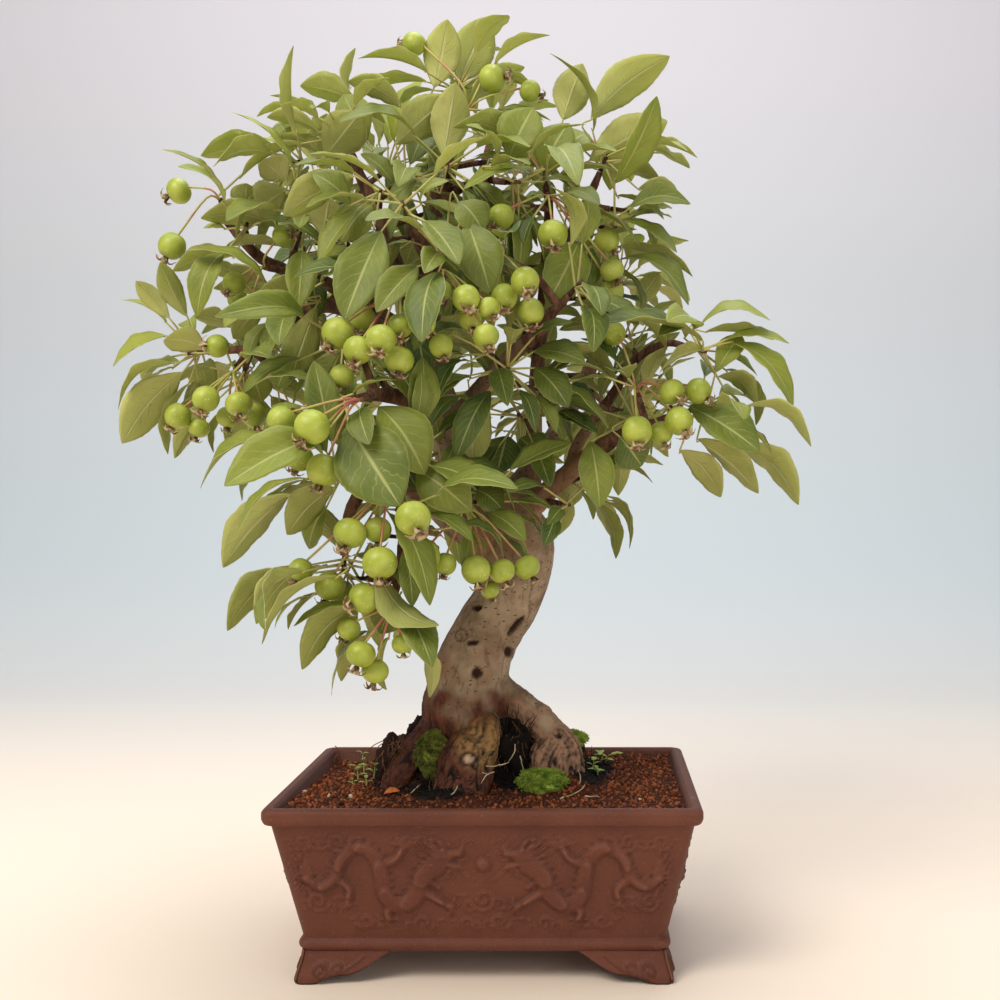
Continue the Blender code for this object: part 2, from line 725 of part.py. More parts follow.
def leaf_shell(leaf, grow=0.0):
    """Stalk and blade of one leaf as one closed shell of four-cornered sections."""
    root, base, tip, facing, width, kind = leaf
    along, across, out = leaf_frame(base, tip, facing)
    bend = LEAF_BENDS[kind]
    length = along.length
    ahead = along.normalized()

    def place(s, u, lift):
        x, y, z = blade_point(s, u, bend)
        return base + along * x + across * y * width + out * (z * length + lift)

    thin = STALK_RADIUS * MM + grow
    thick = BLADE_THICKNESS * MM / 2 + grow
    stalk = stalk_points(root, base, ahead)
    steps = [(b - a).normalized() for a, b in zip(stalk, stalk[1:])] + [ahead]
    sections = []
    direction, side, up = ahead, across, out
    for k in range(len(stalk) - 1, -1, -1):
        middle = (steps[k] + steps[max(k - 1, 0)]).normalized() if k else steps[0]
        turn = direction.rotation_difference(middle)
        direction, side, up = middle, turn @ side, turn @ up
        centre = stalk[k]
        ring = [centre + side * thin, centre + up * thin, centre - side * thin, centre - up * thin]
        sections.insert(0, ring)
    for s in BLADE_STATIONS:
        left, right = place(s, 1, 0) + across * grow, place(s, -1, 0) - across * grow
        sections.append([left, place(s, 0, thick), right, place(s, 0, -thick)])
    verts = [corner for section in sections for corner in section]
    verts.append(place(1, 0, 0))
    rings = len(sections)
    faces = [(0, 1, 2, 3)]
    for k in range(rings - 1):
        for j in range(4):
            a, b = 4 * k + j, 4 * k + (j + 1) % 4
            faces += [(a, b, b + 4), (a, b + 4, a + 4)] if j % 2 else [(a, b, a + 4), (b, b + 4, a + 4)]
    last = 4 * (rings - 1)
    faces += [(last + j, last + (j + 1) % 4, 4 * rings) for j in range(4)]
    return verts, faces


def folds_through_itself(shell):
    """Whether two faces that share no corner cross, as they do where a stalk doubles back under its blade."""
    verts, faces = shell
    tree = BVHTree.FromPolygons([tuple(v) for v in verts], faces)
    return any(not set(faces[a]) & set(faces[b]) for a, b in tree.overlap(tree) if a < b)


def facing_of(turn):
    """Which way an upper face looks: 0 to the front, 90 up, 180 to the back."""
    return Vector((0, -math.cos(math.radians(turn)), math.sin(math.radians(turn))))


def known_leaf(row, end, heading, draw):
    """A leaf whose place the front view gives."""
    base_across, base_down, tip_across, tip_down, depth, width, turn = row
    at = end.y / MM
    root = end + heading * SHOOT_LENGTH * MM * draw.uniform(0.3, 0.9)
    base = seen(base_across, base_down, at + 0.4 * depth)
    tip = seen(tip_across, tip_down, at + depth)
    return root, base, tip, facing_of(turn), width * MM, draw.randrange(len(LEAF_BENDS))


def rule_leaf(number, end, heading, draw):
    """A leaf of the rosette at a twig's end: each is turned from the last by the golden angle."""
    golden = math.radians(137.5)
    turn = number * golden + draw.uniform(-0.4, 0.4)
    spread = math.radians(draw.uniform(35, 85))
    side = heading.orthogonal().normalized()
    side = Matrix.Rotation(turn, 3, heading) @ side
    ray = (heading * math.cos(spread) + side * math.sin(spread)).normalized()
    root = end + heading * SHOOT_LENGTH * MM * draw.uniform(0.25, 0.9)
    stalk = draw.uniform(*STALK_LENGTH) * MM
    length = draw.uniform(*LEAF_LENGTH) * MM
    base = root + ray * stalk
    droop = Vector((0, 0, -draw.uniform(0.05, 0.5)))
    tip = base + (ray + droop).normalized() * length
    facing = (Vector((0, 0, 1)) + heading * 0.5 + side * draw.uniform(-0.5, 0.3)).normalized()
    width = length * draw.uniform(*LEAF_WIDTH_TO_LENGTH)
    return root, base, tip, facing, width, draw.randrange(len(LEAF_BENDS))


def hides(leaf, apples):
    """Whether a leaf stands before the trunk or an apple in the front view."""
    _, base, tip, _, _, _ = leaf
    for share in (0.1, 0.4, 0.7, 1):
        point = base.lerp(tip, share)
        across, down = on_sheet(point)
        for middle, half in OPEN_OVALS:
            if point.y < 0 and math.hypot((across - middle[0]) / half[0], (down - middle[1]) / half[1]) < 1:
                return True
        for centre in apples:
            if point.y < centre.y and math.dist(on_sheet(centre), (across, down)) < OPEN_ROUND_APPLES:
                return True
    return False


def open_leaf(number, end, heading, apples, draw):
    """A leaf of the rosette that leaves the trunk and the apples in view, or the last one tried."""
    for _ in range(REDRAWS):
        leaf = rule_leaf(number, end, heading, draw)
        if leaf[2].z < CROWN_TOP * MM and not hides(leaf, apples):
            break
    return leaf


def nudged(leaf, attempt, draw):
    """The same leaf swung, lifted and turned a little, more at each attempt."""
    root, base, tip, facing, width, kind = leaf
    if attempt == 0:
        return leaf
    reach = min(attempt, 12) * 1.1 * MM
    shift = Vector((draw.uniform(-0.5, 0.5), draw.uniform(-1.6, 0.8), draw.uniform(-0.6, 0.6))) * reach
    swing = Vector((draw.uniform(-0.7, 0.7), draw.uniform(-2, 1), draw.uniform(-0.8, 0.8))) * reach
    turned = (facing + Vector(draw.uniform(-1, 1) for _ in range(3)) * 0.05 * min(attempt, 12)).normalized()
    return root, base + shift, tip + shift + swing, turned, width, draw.randrange(len(LEAF_BENDS))


def blade_of(shell):
    """The blade alone, as an open shell: the last sections of the leaf."""
    verts, faces = shell
    first = len(verts) - 1 - 4 * len(BLADE_STATIONS)
    return verts[first:], [tuple(i - first for i in face) for face in faces if min(face) >= first]


def place_leaf(leaf, owner, taken, draw, attempts):
    """The first clear way to hold a leaf, or None where the foliage is too dense for it."""
    for attempt in range(attempts):
        trial = nudged(leaf, attempt, draw)
        if (trial[2] - trial[1]).length < 8 * MM or folds_through_itself(leaf_shell(trial)):
            continue
        shell = leaf_shell(trial, 0.35 * MM)
        if taken.free(shell, skip=(owner, owner + " blade")) and taken.free(blade_of(shell), skip=(owner,)):
            return trial
    return None


def apple_shell(centre, axis, radius, grow=0.0):
    """A small apple turned about its core, with the dry crown of its calyx away from the stalk."""
    side = axis.orthogonal().normalized()
    up = axis.cross(side)
    radius += grow
    verts = []
    for out, along in APPLE_PROFILE:
        if out == 0:
            verts.append(centre + axis * along * radius)
            continue
        for j in range(APPLE_SIDES):
            turn = 2 * math.pi * j / APPLE_SIDES
            ray = side * math.cos(turn) + up * math.sin(turn)
            verts.append(centre + (axis * along + ray * out) * radius)
    rings = len(APPLE_PROFILE) - 2
    faces = [(0, 1 + (j + 1) % APPLE_SIDES, 1 + j) for j in range(APPLE_SIDES)]
    for k in range(rings - 1):
        for j in range(APPLE_SIDES):
            a, b = 1 + k * APPLE_SIDES + j, 1 + k * APPLE_SIDES + (j + 1) % APPLE_SIDES
            faces.append((a, b, b + APPLE_SIDES, a + APPLE_SIDES))
    last = 1 + (rings - 1) * APPLE_SIDES
    faces += [(last + j, last + (j + 1) % APPLE_SIDES, len(verts) - 1) for j in range(APPLE_SIDES)]
    return verts, faces


def pedicel_run(start, heading, centre, axis, radius):
    """A fruit stalk: out of the twig, over in a curve, and down into the apple's hollow."""
    finish = centre + axis * radius * 0.7
    lift = start + heading * 0.35 * (finish - start).length + Vector((0, 0, 0.12 * (finish - start).length))
    run = []
    for k in range(PEDICEL_STEPS + 1):
        t = k / PEDICEL_STEPS
        point = start * (1 - t) ** 2 + lift * 2 * t * (1 - t) + finish * t * t
        run.append((*point, PEDICEL_RADIUS * MM))
    return run


def apple_axis(start, centre):
    """From the calyx to the stalk: mostly up, leaning back to the twig that bears it."""
    return ((start - centre).normalized() + Vector((0, 0, 0.7))).normalized()


def shoot_shell(twig, length, radii, grow=0.0):
    """The short straight shoot that goes on from a twig's end."""
    end, heading = Vector(twig[-1][:3]), twig_heading(twig)
    near, far = end + heading * GAP, end + heading * length * MM
    return tube([(*near, radii[0] * MM + grow), (*far, radii[1] * MM + grow)], SHOOT_SIDES)


def hang_apples(name, twig, apples, taken, draw):
    """Where a bunch's apples hang, each as its stalk's run, centre, core direction and radius."""
    heading = twig_heading(twig)
    start = Vector(twig[-1][:3]) + heading * (KNOB_LENGTH - 1) * MM
    hung = []
    for across, down, depth, radius in apples:
        for attempt in range(30):
            deeper = depth + (0 if attempt == 0 else draw.uniform(-1.2, 1.2) * attempt)
            centre = seen(across, down, deeper)
            axis = apple_axis(start, centre)
            run = pedicel_run(start, heading, centre, axis, radius * MM)
            body = apple_shell(centre, axis, radius * MM, 0.4 * MM)
            stalk = tube([(*p[:3], p[3] + GAP) for p in run], PEDICEL_SIDES)
            if taken.free(body) and taken.free(stalk, skip=(name + " bunch",)):
                break
        else:
            continue
        taken.add(body, name + " fruit")
        taken.add(stalk, name + " bunch")
        hung.append((run, centre, axis, radius * MM))
    return hung


def set_leaves(name, wanted, taken, draw, attempts):
    """The wanted leaves that find room, each bent clear of what stands already."""
    placed = []
    for leaf in wanted:
        leaf = place_leaf(leaf, name, taken, draw, attempts)
        if leaf is None:
            continue
        placed.append(leaf)
        taken.add(leaf_shell(leaf), name)
        taken.add(blade_of(leaf_shell(leaf)), name + " blade")
    return placed


def grow():
    """The whole crown: the twigs, then every apple and leaf, each where it finds room."""
    draw = random.Random(SEED)
    taken = Taken()
    leafy = {name: twig_from(branch, seen(*end)) for name, (branch, end, *_) in SPRAYS.items()}
    fruiting = {name: twig_from(branch, seen(*end)) for name, (branch, end, _) in BUNCHES.items()}
    for shell in wood_shells() + [tube(run, TWIG_SIDES) for run in (*leafy.values(), *fruiting.values())]:
        taken.add(shell, "wood")
    for name, twig in leafy.items():
        taken.add(shoot_shell(twig, SHOOT_LENGTH, SHOOT_RADII), name)
    for name, twig in fruiting.items():
        taken.add(shoot_shell(twig, KNOB_LENGTH, KNOB_RADII), name + " bunch")
    fruit = {}
    for name, (_, _, rows) in BUNCHES.items():
        fruit[name] = hang_apples(name, fruiting[name], rows, taken, draw)
    apples = [centre for hung in fruit.values() for _, centre, _, _ in hung]
    leaves = {}
    for name, (_, _, extra, rows) in SPRAYS.items():
        end, heading = Vector(leafy[name][-1][:3]), twig_heading(leafy[name])
        wanted = [known_leaf(row, end, heading, draw) for row in rows]
        wanted += [open_leaf(k, end, heading, apples, draw) for k in range(extra)]
        leaves[name] = set_leaves(name, wanted, taken, draw, 40)
    return leafy, fruiting, fruit, leaves, apples, taken, draw


def soil_height(x, y):
    """The soil's surface: heaped round the trunk, lower at the back left."""
    away = math.hypot((x - MOUND_CENTRE[0]) / MOUND_HALF[0], (y - MOUND_CENTRE[1]) / MOUND_HALF[1])
    mound = SOIL_MOUND * (0.5 + 0.5 * math.cos(math.pi * min(away, 1)))
    hollow = SOIL_LOW_LEFT / (1 + math.exp((x + 45) / 12)) / (1 + math.exp(-(y + 15) / 12))
    return (SOIL_EDGE + mound - hollow) * MM


def rounded_ring(half_x, half_y, corner, steps):
    """Corner points of a rounded rectangle, anticlockwise from the right."""
    ring = []
    for sx, sy, start in ((1, 1, 0), (-1, 1, 90), (-1, -1, 180), (1, -1, 270)):
        for k in range(steps + 1):
            turn = math.radians(start + 90 * k / steps)
            x, y = corner * math.cos(turn), corner * math.sin(turn)
            ring.append((sx * (half_x - corner) + x, sy * (half_y - corner) + y))
    return ring


def make_pot(paint):
    """The pressed wall with its foot band and rolled rim, the floor with two drain holes, and four feet."""
    verts, faces = [], []
    levels = POT_WALL_OUTSIDE + POT_WALL_INSIDE
    for k, (height, half_x, half_y) in enumerate(levels):
        corner = POT_CORNER if k < len(POT_WALL_OUTSIDE) else POT_CORNER - 2.5
        ring = rounded_ring(half_x, half_y, corner, POT_CORNER_STEPS)
        verts += [Vector((x, y, height)) * MM for x, y in ring]
    count = 4 * (POT_CORNER_STEPS + 1)
    for k in range(len(levels) - 1):
        for j in range(count):
            a, b = k * count + j, k * count + (j + 1) % count
            faces.append((a, b, b + count, a + count))
    faces.append(tuple(range(count)))
    faces.append(tuple(range((len(levels) - 1) * count, len(levels) * count)))
    pot = piece("pot", mesh_of(verts, faces), paint)
    boolean(pot, "UNION", [foot_shell(sx, sy) for sx in (-1, 1) for sy in (-1, 1)])
    hole = [(0, 0, 10 * MM, DRAIN_RADIUS * MM), (0, 0, 30 * MM, DRAIN_RADIUS * MM)]
    holes = [tube([(side * DRAIN_ACROSS * MM, 0, p[2], p[3]) for p in hole], 12) for side in (-1, 1)]
    boolean(pot, "DIFFERENCE", holes)
    return pot


def foot_shell(sx, sy):
    """One bracket foot: an L in plan that shortens and flares as it goes down."""
    verts = []
    for height, along_x, along_y, flare in FOOT_LEVELS:
        x, y, cut = 93.4 + flare, 66 + flare, FOOT_CORNER_CUT
        inner_x, inner_y = x - FOOT_WALL, y - FOOT_WALL
        plan = [
            (x - cut, y), (93.4 - along_x, y), (93.4 - along_x, inner_y), (inner_x, inner_y),
            (inner_x, 66 - along_y), (x, 66 - along_y), (x, y - cut),
        ]
        verts += [Vector((sx * a, sy * b, height)) * MM for a, b in plan]
    count = 7
    faces = [tuple(range(count)), tuple(range((len(FOOT_LEVELS) - 1) * count, len(FOOT_LEVELS) * count))]
    for k in range(len(FOOT_LEVELS) - 1):
        for j in range(count):
            a, b = k * count + j, k * count + (j + 1) % count
            faces.append((a, b, b + count, a + count))
    return verts, faces


def soil_outline(height):
    """The soil's outline at a height, just inside the pot's wall."""
    above = [row for row in POT_WALL_INSIDE if row[0] > height][-1]
    below = [row for row in POT_WALL_INSIDE if row[0] <= height][0]
    share = (height - below[0]) / (above[0] - below[0])
    half_x, half_y = (b + (a - b) * share - 1.5 * GAP / MM for a, b in zip(above[1:], below[1:]))
    return rounded_ring(half_x, half_y, POT_CORNER - 2.5, POT_CORNER_STEPS)


def make_soil(paint, holes):
    """The soil that fills the pot, with plain holes where the roots and the moss stand in it."""
    gap = GAP / MM
    verts = []
    for height in (POT_FLOOR + gap, 84):
        verts += [Vector((x, y, height)) * MM for x, y in soil_outline(height)]
    edge = [
        soil_outline(soil_height(x, y) / MM)[j] for j, (x, y) in enumerate(soil_outline(SOIL_EDGE))
    ]
    for share in SOIL_RINGS:
        ring = [(x * share, y * share) for x, y in edge]
        verts += [Vector((x * MM, y * MM, soil_height(x, y))) for x, y in ring]
    verts.append(Vector((0, 0, soil_height(0, 0))))
    count = 4 * (POT_CORNER_STEPS + 1)
    rings = 2 + len(SOIL_RINGS)
    faces = [tuple(range(count))]
    for k in range(rings - 1):
        for j in range(count):
            a, b = k * count + j, k * count + (j + 1) % count
            faces += [(a, b, b + count), (a, b + count, a + count)]
    last = (rings - 1) * count
    faces += [(last + j, last + (j + 1) % count, len(verts) - 1) for j in range(count)]
    soil = piece("soil", mesh_of(verts, faces), paint)
    boolean(soil, "DIFFERENCE", holes, "MANIFOLD")
    soil.data = tidied(soil.data, False)
    return soil


def cushion_shell(place, half, grow=0.0):
    """A cushion of moss: a low dome with a lumpy top, sunk a little into the soil."""
    centre = seen(*place)
    verts = []
    levels, sides = 4, 10
    for k in range(1, levels):
        tilt = math.pi * k / levels
        for j in range(sides):
            turn = 2 * math.pi * j / sides
            out = Vector((math.sin(tilt) * math.cos(turn), math.sin(tilt) * math.sin(turn), math.cos(tilt)))
            lump = 1 + 0.16 * noise.noise(out * 2.3 + centre * 90)
            verts.append(centre + Vector(out[i] * (half[i] * MM * lump + grow) for i in range(3)))
    top, bottom = len(verts), len(verts) + 1
    verts.append(centre + Vector((0, 0, half[2] * MM + grow)))
    verts.append(centre - Vector((0, 0, half[2] * MM + grow)))
    faces = [(j, (j + 1) % sides, top) for j in range(sides)]
    for k in range(levels - 2):
        for j in range(sides):
            a, b = k * sides + j, k * sides + (j + 1) % sides
            faces.append((a, b, b + sides, a + sides))
    last = (levels - 2) * sides
    faces += [(last + j, last + (j + 1) % sides, bottom) for j in range(sides)]
    return verts, faces


def stand_on_origin():
    """Moves every piece so that the middle of the whole object's box stands on the origin."""
    corners = [v.co for obj in bpy.data.objects for v in obj.data.vertices]
    low, high = (Vector(pick(c[i] for c in corners) for i in range(3)) for pick in (min, max))
    middle = Vector(((low.x + high.x) / 2, (low.y + high.y) / 2, low.z))
    for obj in bpy.data.objects:
        obj.data.transform(Matrix.Translation(-middle))
    print("pot centre from the origin, mm", [round(c / MM, 2) for c in -middle])


def main():
    clear_scene()
    clay = material("unglazed clay", (0.135, 0.053, 0.040), 0.62)
    earth = material("red granular soil", (0.115, 0.034, 0.016), 0.95)
    bark = material("bark", (0.205, 0.140, 0.105), 0.85)
    foliage = material("leaf", (0.135, 0.200, 0.040), 0.55)
    skin = material("apple skin", (0.330, 0.460, 0.060), 0.35)
    moss_paint = material("moss", (0.090, 0.160, 0.015), 0.95)

    leafy, fruiting, fruit, leaves, *_ = grow()
    twigs = [tube(run, TWIG_SIDES) for run in (*leafy.values(), *fruiting.values())]
    joined("tree", wood_shells() + twigs, bark)
    for name, hung in fruit.items():
        shells = [shoot_shell(fruiting[name], KNOB_LENGTH, KNOB_RADII)]
        for run, centre, axis, radius in hung:
            shells += [apple_shell(centre, axis, radius), tube(run, PEDICEL_SIDES)]
        joined("apples_" + name, shells, skin)
    for name, placed in leaves.items():
        shoot = shoot_shell(leafy[name], SHOOT_LENGTH, SHOOT_RADII)
        joined("spray_" + name, [shoot, *(leaf_shell(leaf) for leaf in placed)], foliage)

    roots = wood_shells(grow=ROOT_CLEARANCE)[: 1 + len(ROOTS)]
    moss_holes = []
    for name, (place, half) in MOSS.items():
        cushion = piece("moss_" + name, mesh_of(*cushion_shell(place, half)), moss_paint)
        boolean(cushion, "DIFFERENCE", roots, "MANIFOLD")
        cushion.data = tidied(cushion.data, False)
        moss_holes.append(cushion_shell(place, half, GAP))
    make_pot(clay)
    make_soil(earth, roots + moss_holes)
    print(sum(map(len, leaves.values())), "leaves,", sum(map(len, fruit.values())), "apples,", end=" ")
    print(sum(triangles_of(obj) for obj in bpy.data.objects), "triangles")
    stand_on_origin()


main()
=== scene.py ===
# %% [markdown]
# # A crabapple bonsai in fruit
# This lesson dresses a flowering crabapple bonsai: a curved trunk, a leafy crown hung with small green apples,
# and a rectangular clay pot with dragons in low relief.
# The frame that it loads holds plain solids of the right size in the right place. Here each one is
# replaced by a finer piece of the same form: saw-edged leaves, apples with their dry calyx, bark with scars.
# The order is the tree's own: first where everything grows, then wood, leaves, fruit, soil, pot, and the light.

import json
import random
from math import atan2, cos, degrees, dist, exp, hypot, pi, radians, sin

import bmesh
import bpy
import numpy as np
from mathutils import Matrix, Quaternion, Vector, noise
from mathutils.bvhtree import BVHTree

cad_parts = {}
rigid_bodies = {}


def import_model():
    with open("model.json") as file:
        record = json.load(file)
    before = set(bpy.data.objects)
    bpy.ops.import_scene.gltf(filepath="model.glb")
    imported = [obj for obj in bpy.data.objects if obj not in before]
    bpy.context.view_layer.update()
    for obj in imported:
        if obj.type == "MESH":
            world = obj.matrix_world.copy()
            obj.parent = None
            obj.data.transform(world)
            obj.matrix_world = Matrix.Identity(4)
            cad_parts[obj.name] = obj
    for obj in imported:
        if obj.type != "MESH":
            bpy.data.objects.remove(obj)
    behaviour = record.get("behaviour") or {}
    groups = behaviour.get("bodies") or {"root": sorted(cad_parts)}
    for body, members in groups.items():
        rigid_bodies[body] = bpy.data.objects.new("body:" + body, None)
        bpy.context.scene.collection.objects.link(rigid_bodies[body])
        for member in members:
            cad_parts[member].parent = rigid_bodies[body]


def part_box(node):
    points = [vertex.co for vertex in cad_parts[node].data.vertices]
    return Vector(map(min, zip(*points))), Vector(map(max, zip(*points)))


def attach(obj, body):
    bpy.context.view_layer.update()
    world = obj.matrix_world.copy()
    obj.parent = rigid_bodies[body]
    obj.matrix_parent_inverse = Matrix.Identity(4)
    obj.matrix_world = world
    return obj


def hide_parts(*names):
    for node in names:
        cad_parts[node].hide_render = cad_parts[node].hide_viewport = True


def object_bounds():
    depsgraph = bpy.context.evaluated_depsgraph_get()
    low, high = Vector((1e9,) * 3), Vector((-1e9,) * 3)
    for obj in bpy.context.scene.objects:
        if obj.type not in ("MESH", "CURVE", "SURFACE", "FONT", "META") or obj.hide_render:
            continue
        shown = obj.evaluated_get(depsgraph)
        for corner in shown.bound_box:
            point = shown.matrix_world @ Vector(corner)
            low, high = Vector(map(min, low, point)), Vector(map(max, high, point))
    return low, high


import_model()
cad_box = [list(corner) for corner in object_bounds()]
pot_low, pot_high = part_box("pot")
POT_CENTRE = Vector(((pot_low[0] + pot_high[0]) / 2, (pot_low[1] + pot_high[1]) / 2, 0))
print("the object's box, mm:", [[round(c * 1000) for c in corner] for corner in cad_box])

# %% [markdown]
# ## Where everything grows
# The tree is drawn once, as runs of points: across and down a 1000 by 1000 front view, depth behind the pot's
# centre, and radius, in millimetres. One function, `seen`, turns a point of that view into a place in the room.
# Leaves follow a crabapple's habit: a rosette at the end of each twig, every leaf turned from the last by
# the golden angle. The lists and rules are the same as those that made the frame's solids, and so is the seed,
# so that each fine leaf lands on its plain one.

# %% The tree's measures
MM = 0.001
GAP = 0.3 * MM
SEED = 9

# The front view that places the tree's parts: where a point drawn across and down a 1000 by 1000 sheet lies,
# once its depth behind the pot's centre is known. The eye is level, in front and a little to the right.
EYE = Vector((54, -730, 248)) * MM
SHEET_FOCAL = 1300
SHEET_CENTRE = 590
SHEET_HORIZON = 497
# Pot: half sizes along X and Y at each height of the outside, then of the inside
POT_WALL_OUTSIDE = [
    (15.8, 92.5, 65), (17.2, 94.6, 67.1), (19.4, 95.6, 68.1), (21.4, 95, 67.5), (22.6, 93.4, 66),
    (83, 107, 79.5), (84, 110, 82.5), (86.5, 111, 83.5), (90, 111, 83.5), (91.6, 110, 82.5),
    (92, 108.5, 81),
]
POT_WALL_INSIDE = [(92, 106, 78.5), (90.5, 104.4, 76.9), (84, 101.6, 74), (22.5, 88, 60.5)]
POT_CORNER = 6
POT_FLOOR = 22.5
DRAIN_RADIUS = 6
DRAIN_ACROSS = 42

# Foot: how far its face stands out at each height
FOOT_LEVELS = [(16.2, 0), (12.4, 0.6), (8.8, 1.6), (6, 2.5), (3, 3.4), (0, 3.2)]
FOOT_WALL = 8.5
FOOT_CORNER_CUT = 3

# Soil: level at the rim, heaped into a mound round the foot of the trunk, sunk a little at the back left
SOIL_EDGE = 88.5
SOIL_MOUND = 31
MOUND_CENTRE = (-8, 2)
MOUND_HALF = (54, 42)
SOIL_LOW_LEFT = 4.5
# Wood: each run of points is across, down, depth, radius
TRUNK_SIDES = 12
ROOT_SIDES = 7
BRANCH_SIDES = 6
TWIG_SIDES = 4


def table(text):
    """Rows of a table in plain text: the words before the first bar, then the numbers between bars."""
    rows = {}
    for line in text.replace("\n   |", " |").strip().splitlines():
        (name, *head), *cells = (cell.split() for cell in line.split("|"))
        rows[name] = head, [tuple(map(float, cell)) for cell in cells]
    return rows


def wood_runs(text):
    return {name: cells for name, (_, cells) in table(text).items()}


TRUNK = wood_runs("""
trunk | 462 812 -6 22 | 464 785 -6 23 | 465 755 -6 22.5 | 464 722 -5 23.5 | 464 698 -5 22.8 | 472 665 -5 20.6
   | 489 630 -5 18.6 | 507 598 -5 18.8 | 514 570 -5 21 | 511 545 -5 23.6 | 497 520 -3 22 | 480 490 0 17.8
   | 460 450 3 14.8 | 440 410 5 12.6 | 426 370 5 11 | 421 330 4 9 | 428 280 0 6.6 | 436 230 -3 5
   | 438 190 -5 4.2
""")["trunk"]
ROOTS = wood_runs("""
right | 490 684 -5 11 | 508 699 -8 9.5 | 530 714 -10 9 | 550 731 -12 9 | 563 750 -14 10.5 | 567 776 -16 10
   | 572 806 -18 6
right_toe | 556 742 -14 9 | 546 762 -20 10 | 540 790 -24 7
front | 482 722 -16 11 | 478 744 -26 12 | 466 762 -34 15 | 463 792 -40 15 | 462 815 -42 9
left | 448 726 -4 14 | 424 752 -6 13 | 402 778 -8 11 | 388 808 -10 7
back | 480 706 8 16 | 490 736 22 15 | 496 764 34 12 | 500 796 44 7
back_left | 460 716 8 14 | 438 746 20 13 | 418 772 30 10 | 404 804 38 6
back_right | 492 704 6 11 | 524 730 16 11 | 546 758 24 9.5 | 560 794 32 6
""")
BRANCHES = wood_runs("""
right_low | 512 522 -8 9 | 534 505 -12 6.6 | 556 484 -18 5.6 | 593 453 -25 4.7 | 622 436 -28 4
   | 655 424 -30 3.2 | 684 412 -32 2.4
right_mid | 568 474 -20 3.6 | 577 446 -14 3.4 | 593 421 -10 3.1 | 612 396 -6 2.8 | 632 364 -6 2.5
   | 655 345 -10 2
right_up | 524 520 2 8 | 532 480 6 5.6 | 534 430 8 4.7 | 537 370 8 4.2 | 544 300 6 3.8 | 548 240 2 3.2
   | 549 200 -4 2.4
up_right | 544 298 6 3.6 | 562 255 2 3.2 | 580 215 -4 2.8 | 596 182 -7 2.2
front_right | 452 438 -2 8 | 472 400 -22 5.6 | 510 357 -38 4.4 | 534 336 -45 3.8 | 553 312 -50 2.8
   | 564 301 -53 2.2
front_mid | 424 335 0 6.5 | 430 290 -28 4.6 | 426 255 -50 3.6 | 414 226 -64 2.4
front_left | 446 420 0 8 | 424 404 -32 5.6 | 394 396 -62 4.2 | 370 394 -80 3
left_mid | 436 391 5 7.7 | 395 342 -8 5.8 | 355 314 -16 4.8 | 323 306 -22 4.2 | 287 326 -26 3.4
   | 261 339 -28 2.8 | 248 352 -30 2.3
left_up | 424 352 4 7 | 380 315 6 5 | 330 285 6 4.2 | 290 272 4 3.6 | 261 258 2 3.2 | 240 237 0 2.8
   | 226 220 -2 2.4
mid_up | 422 325 2 6.5 | 398 270 -8 4.8 | 378 215 -16 3.8 | 360 175 -18 3 | 350 152 -20 2.4
top | 435 240 -3 4.6 | 446 190 -6 3.6 | 455 145 -8 2.9 | 459 112 -8 2.4
left_low | 498 540 -10 11 | 460 528 -32 7.5 | 430 502 -52 5.6 | 396 480 -68 4.6 | 366 488 -78 3.8
   | 350 512 -80 3 | 346 538 -79 2.4
low_hang | 398 481 -68 3.4 | 402 520 -74 2.7 | 401 560 -76 2.3 | 396 586 -77 2
back_left | 440 402 12 8 | 400 342 40 5.6 | 368 292 62 4.4 | 345 245 80 3.4 | 330 215 90 2.6
back_right | 500 515 12 10 | 545 450 38 6 | 580 390 62 4.8 | 602 340 82 3.6 | 612 306 92 2.6
back_mid | 428 320 8 6.5 | 455 260 38 4.8 | 476 200 60 3.8 | 486 158 70 2.6
back_low | 474 482 12 9 | 458 442 45 5.6 | 442 420 75 4.2 | 428 404 96 2.8
""")
TWIG_RADIUS_AT_BRANCH = 2.3
TWIG_RADIUS_AT_END = 1.7

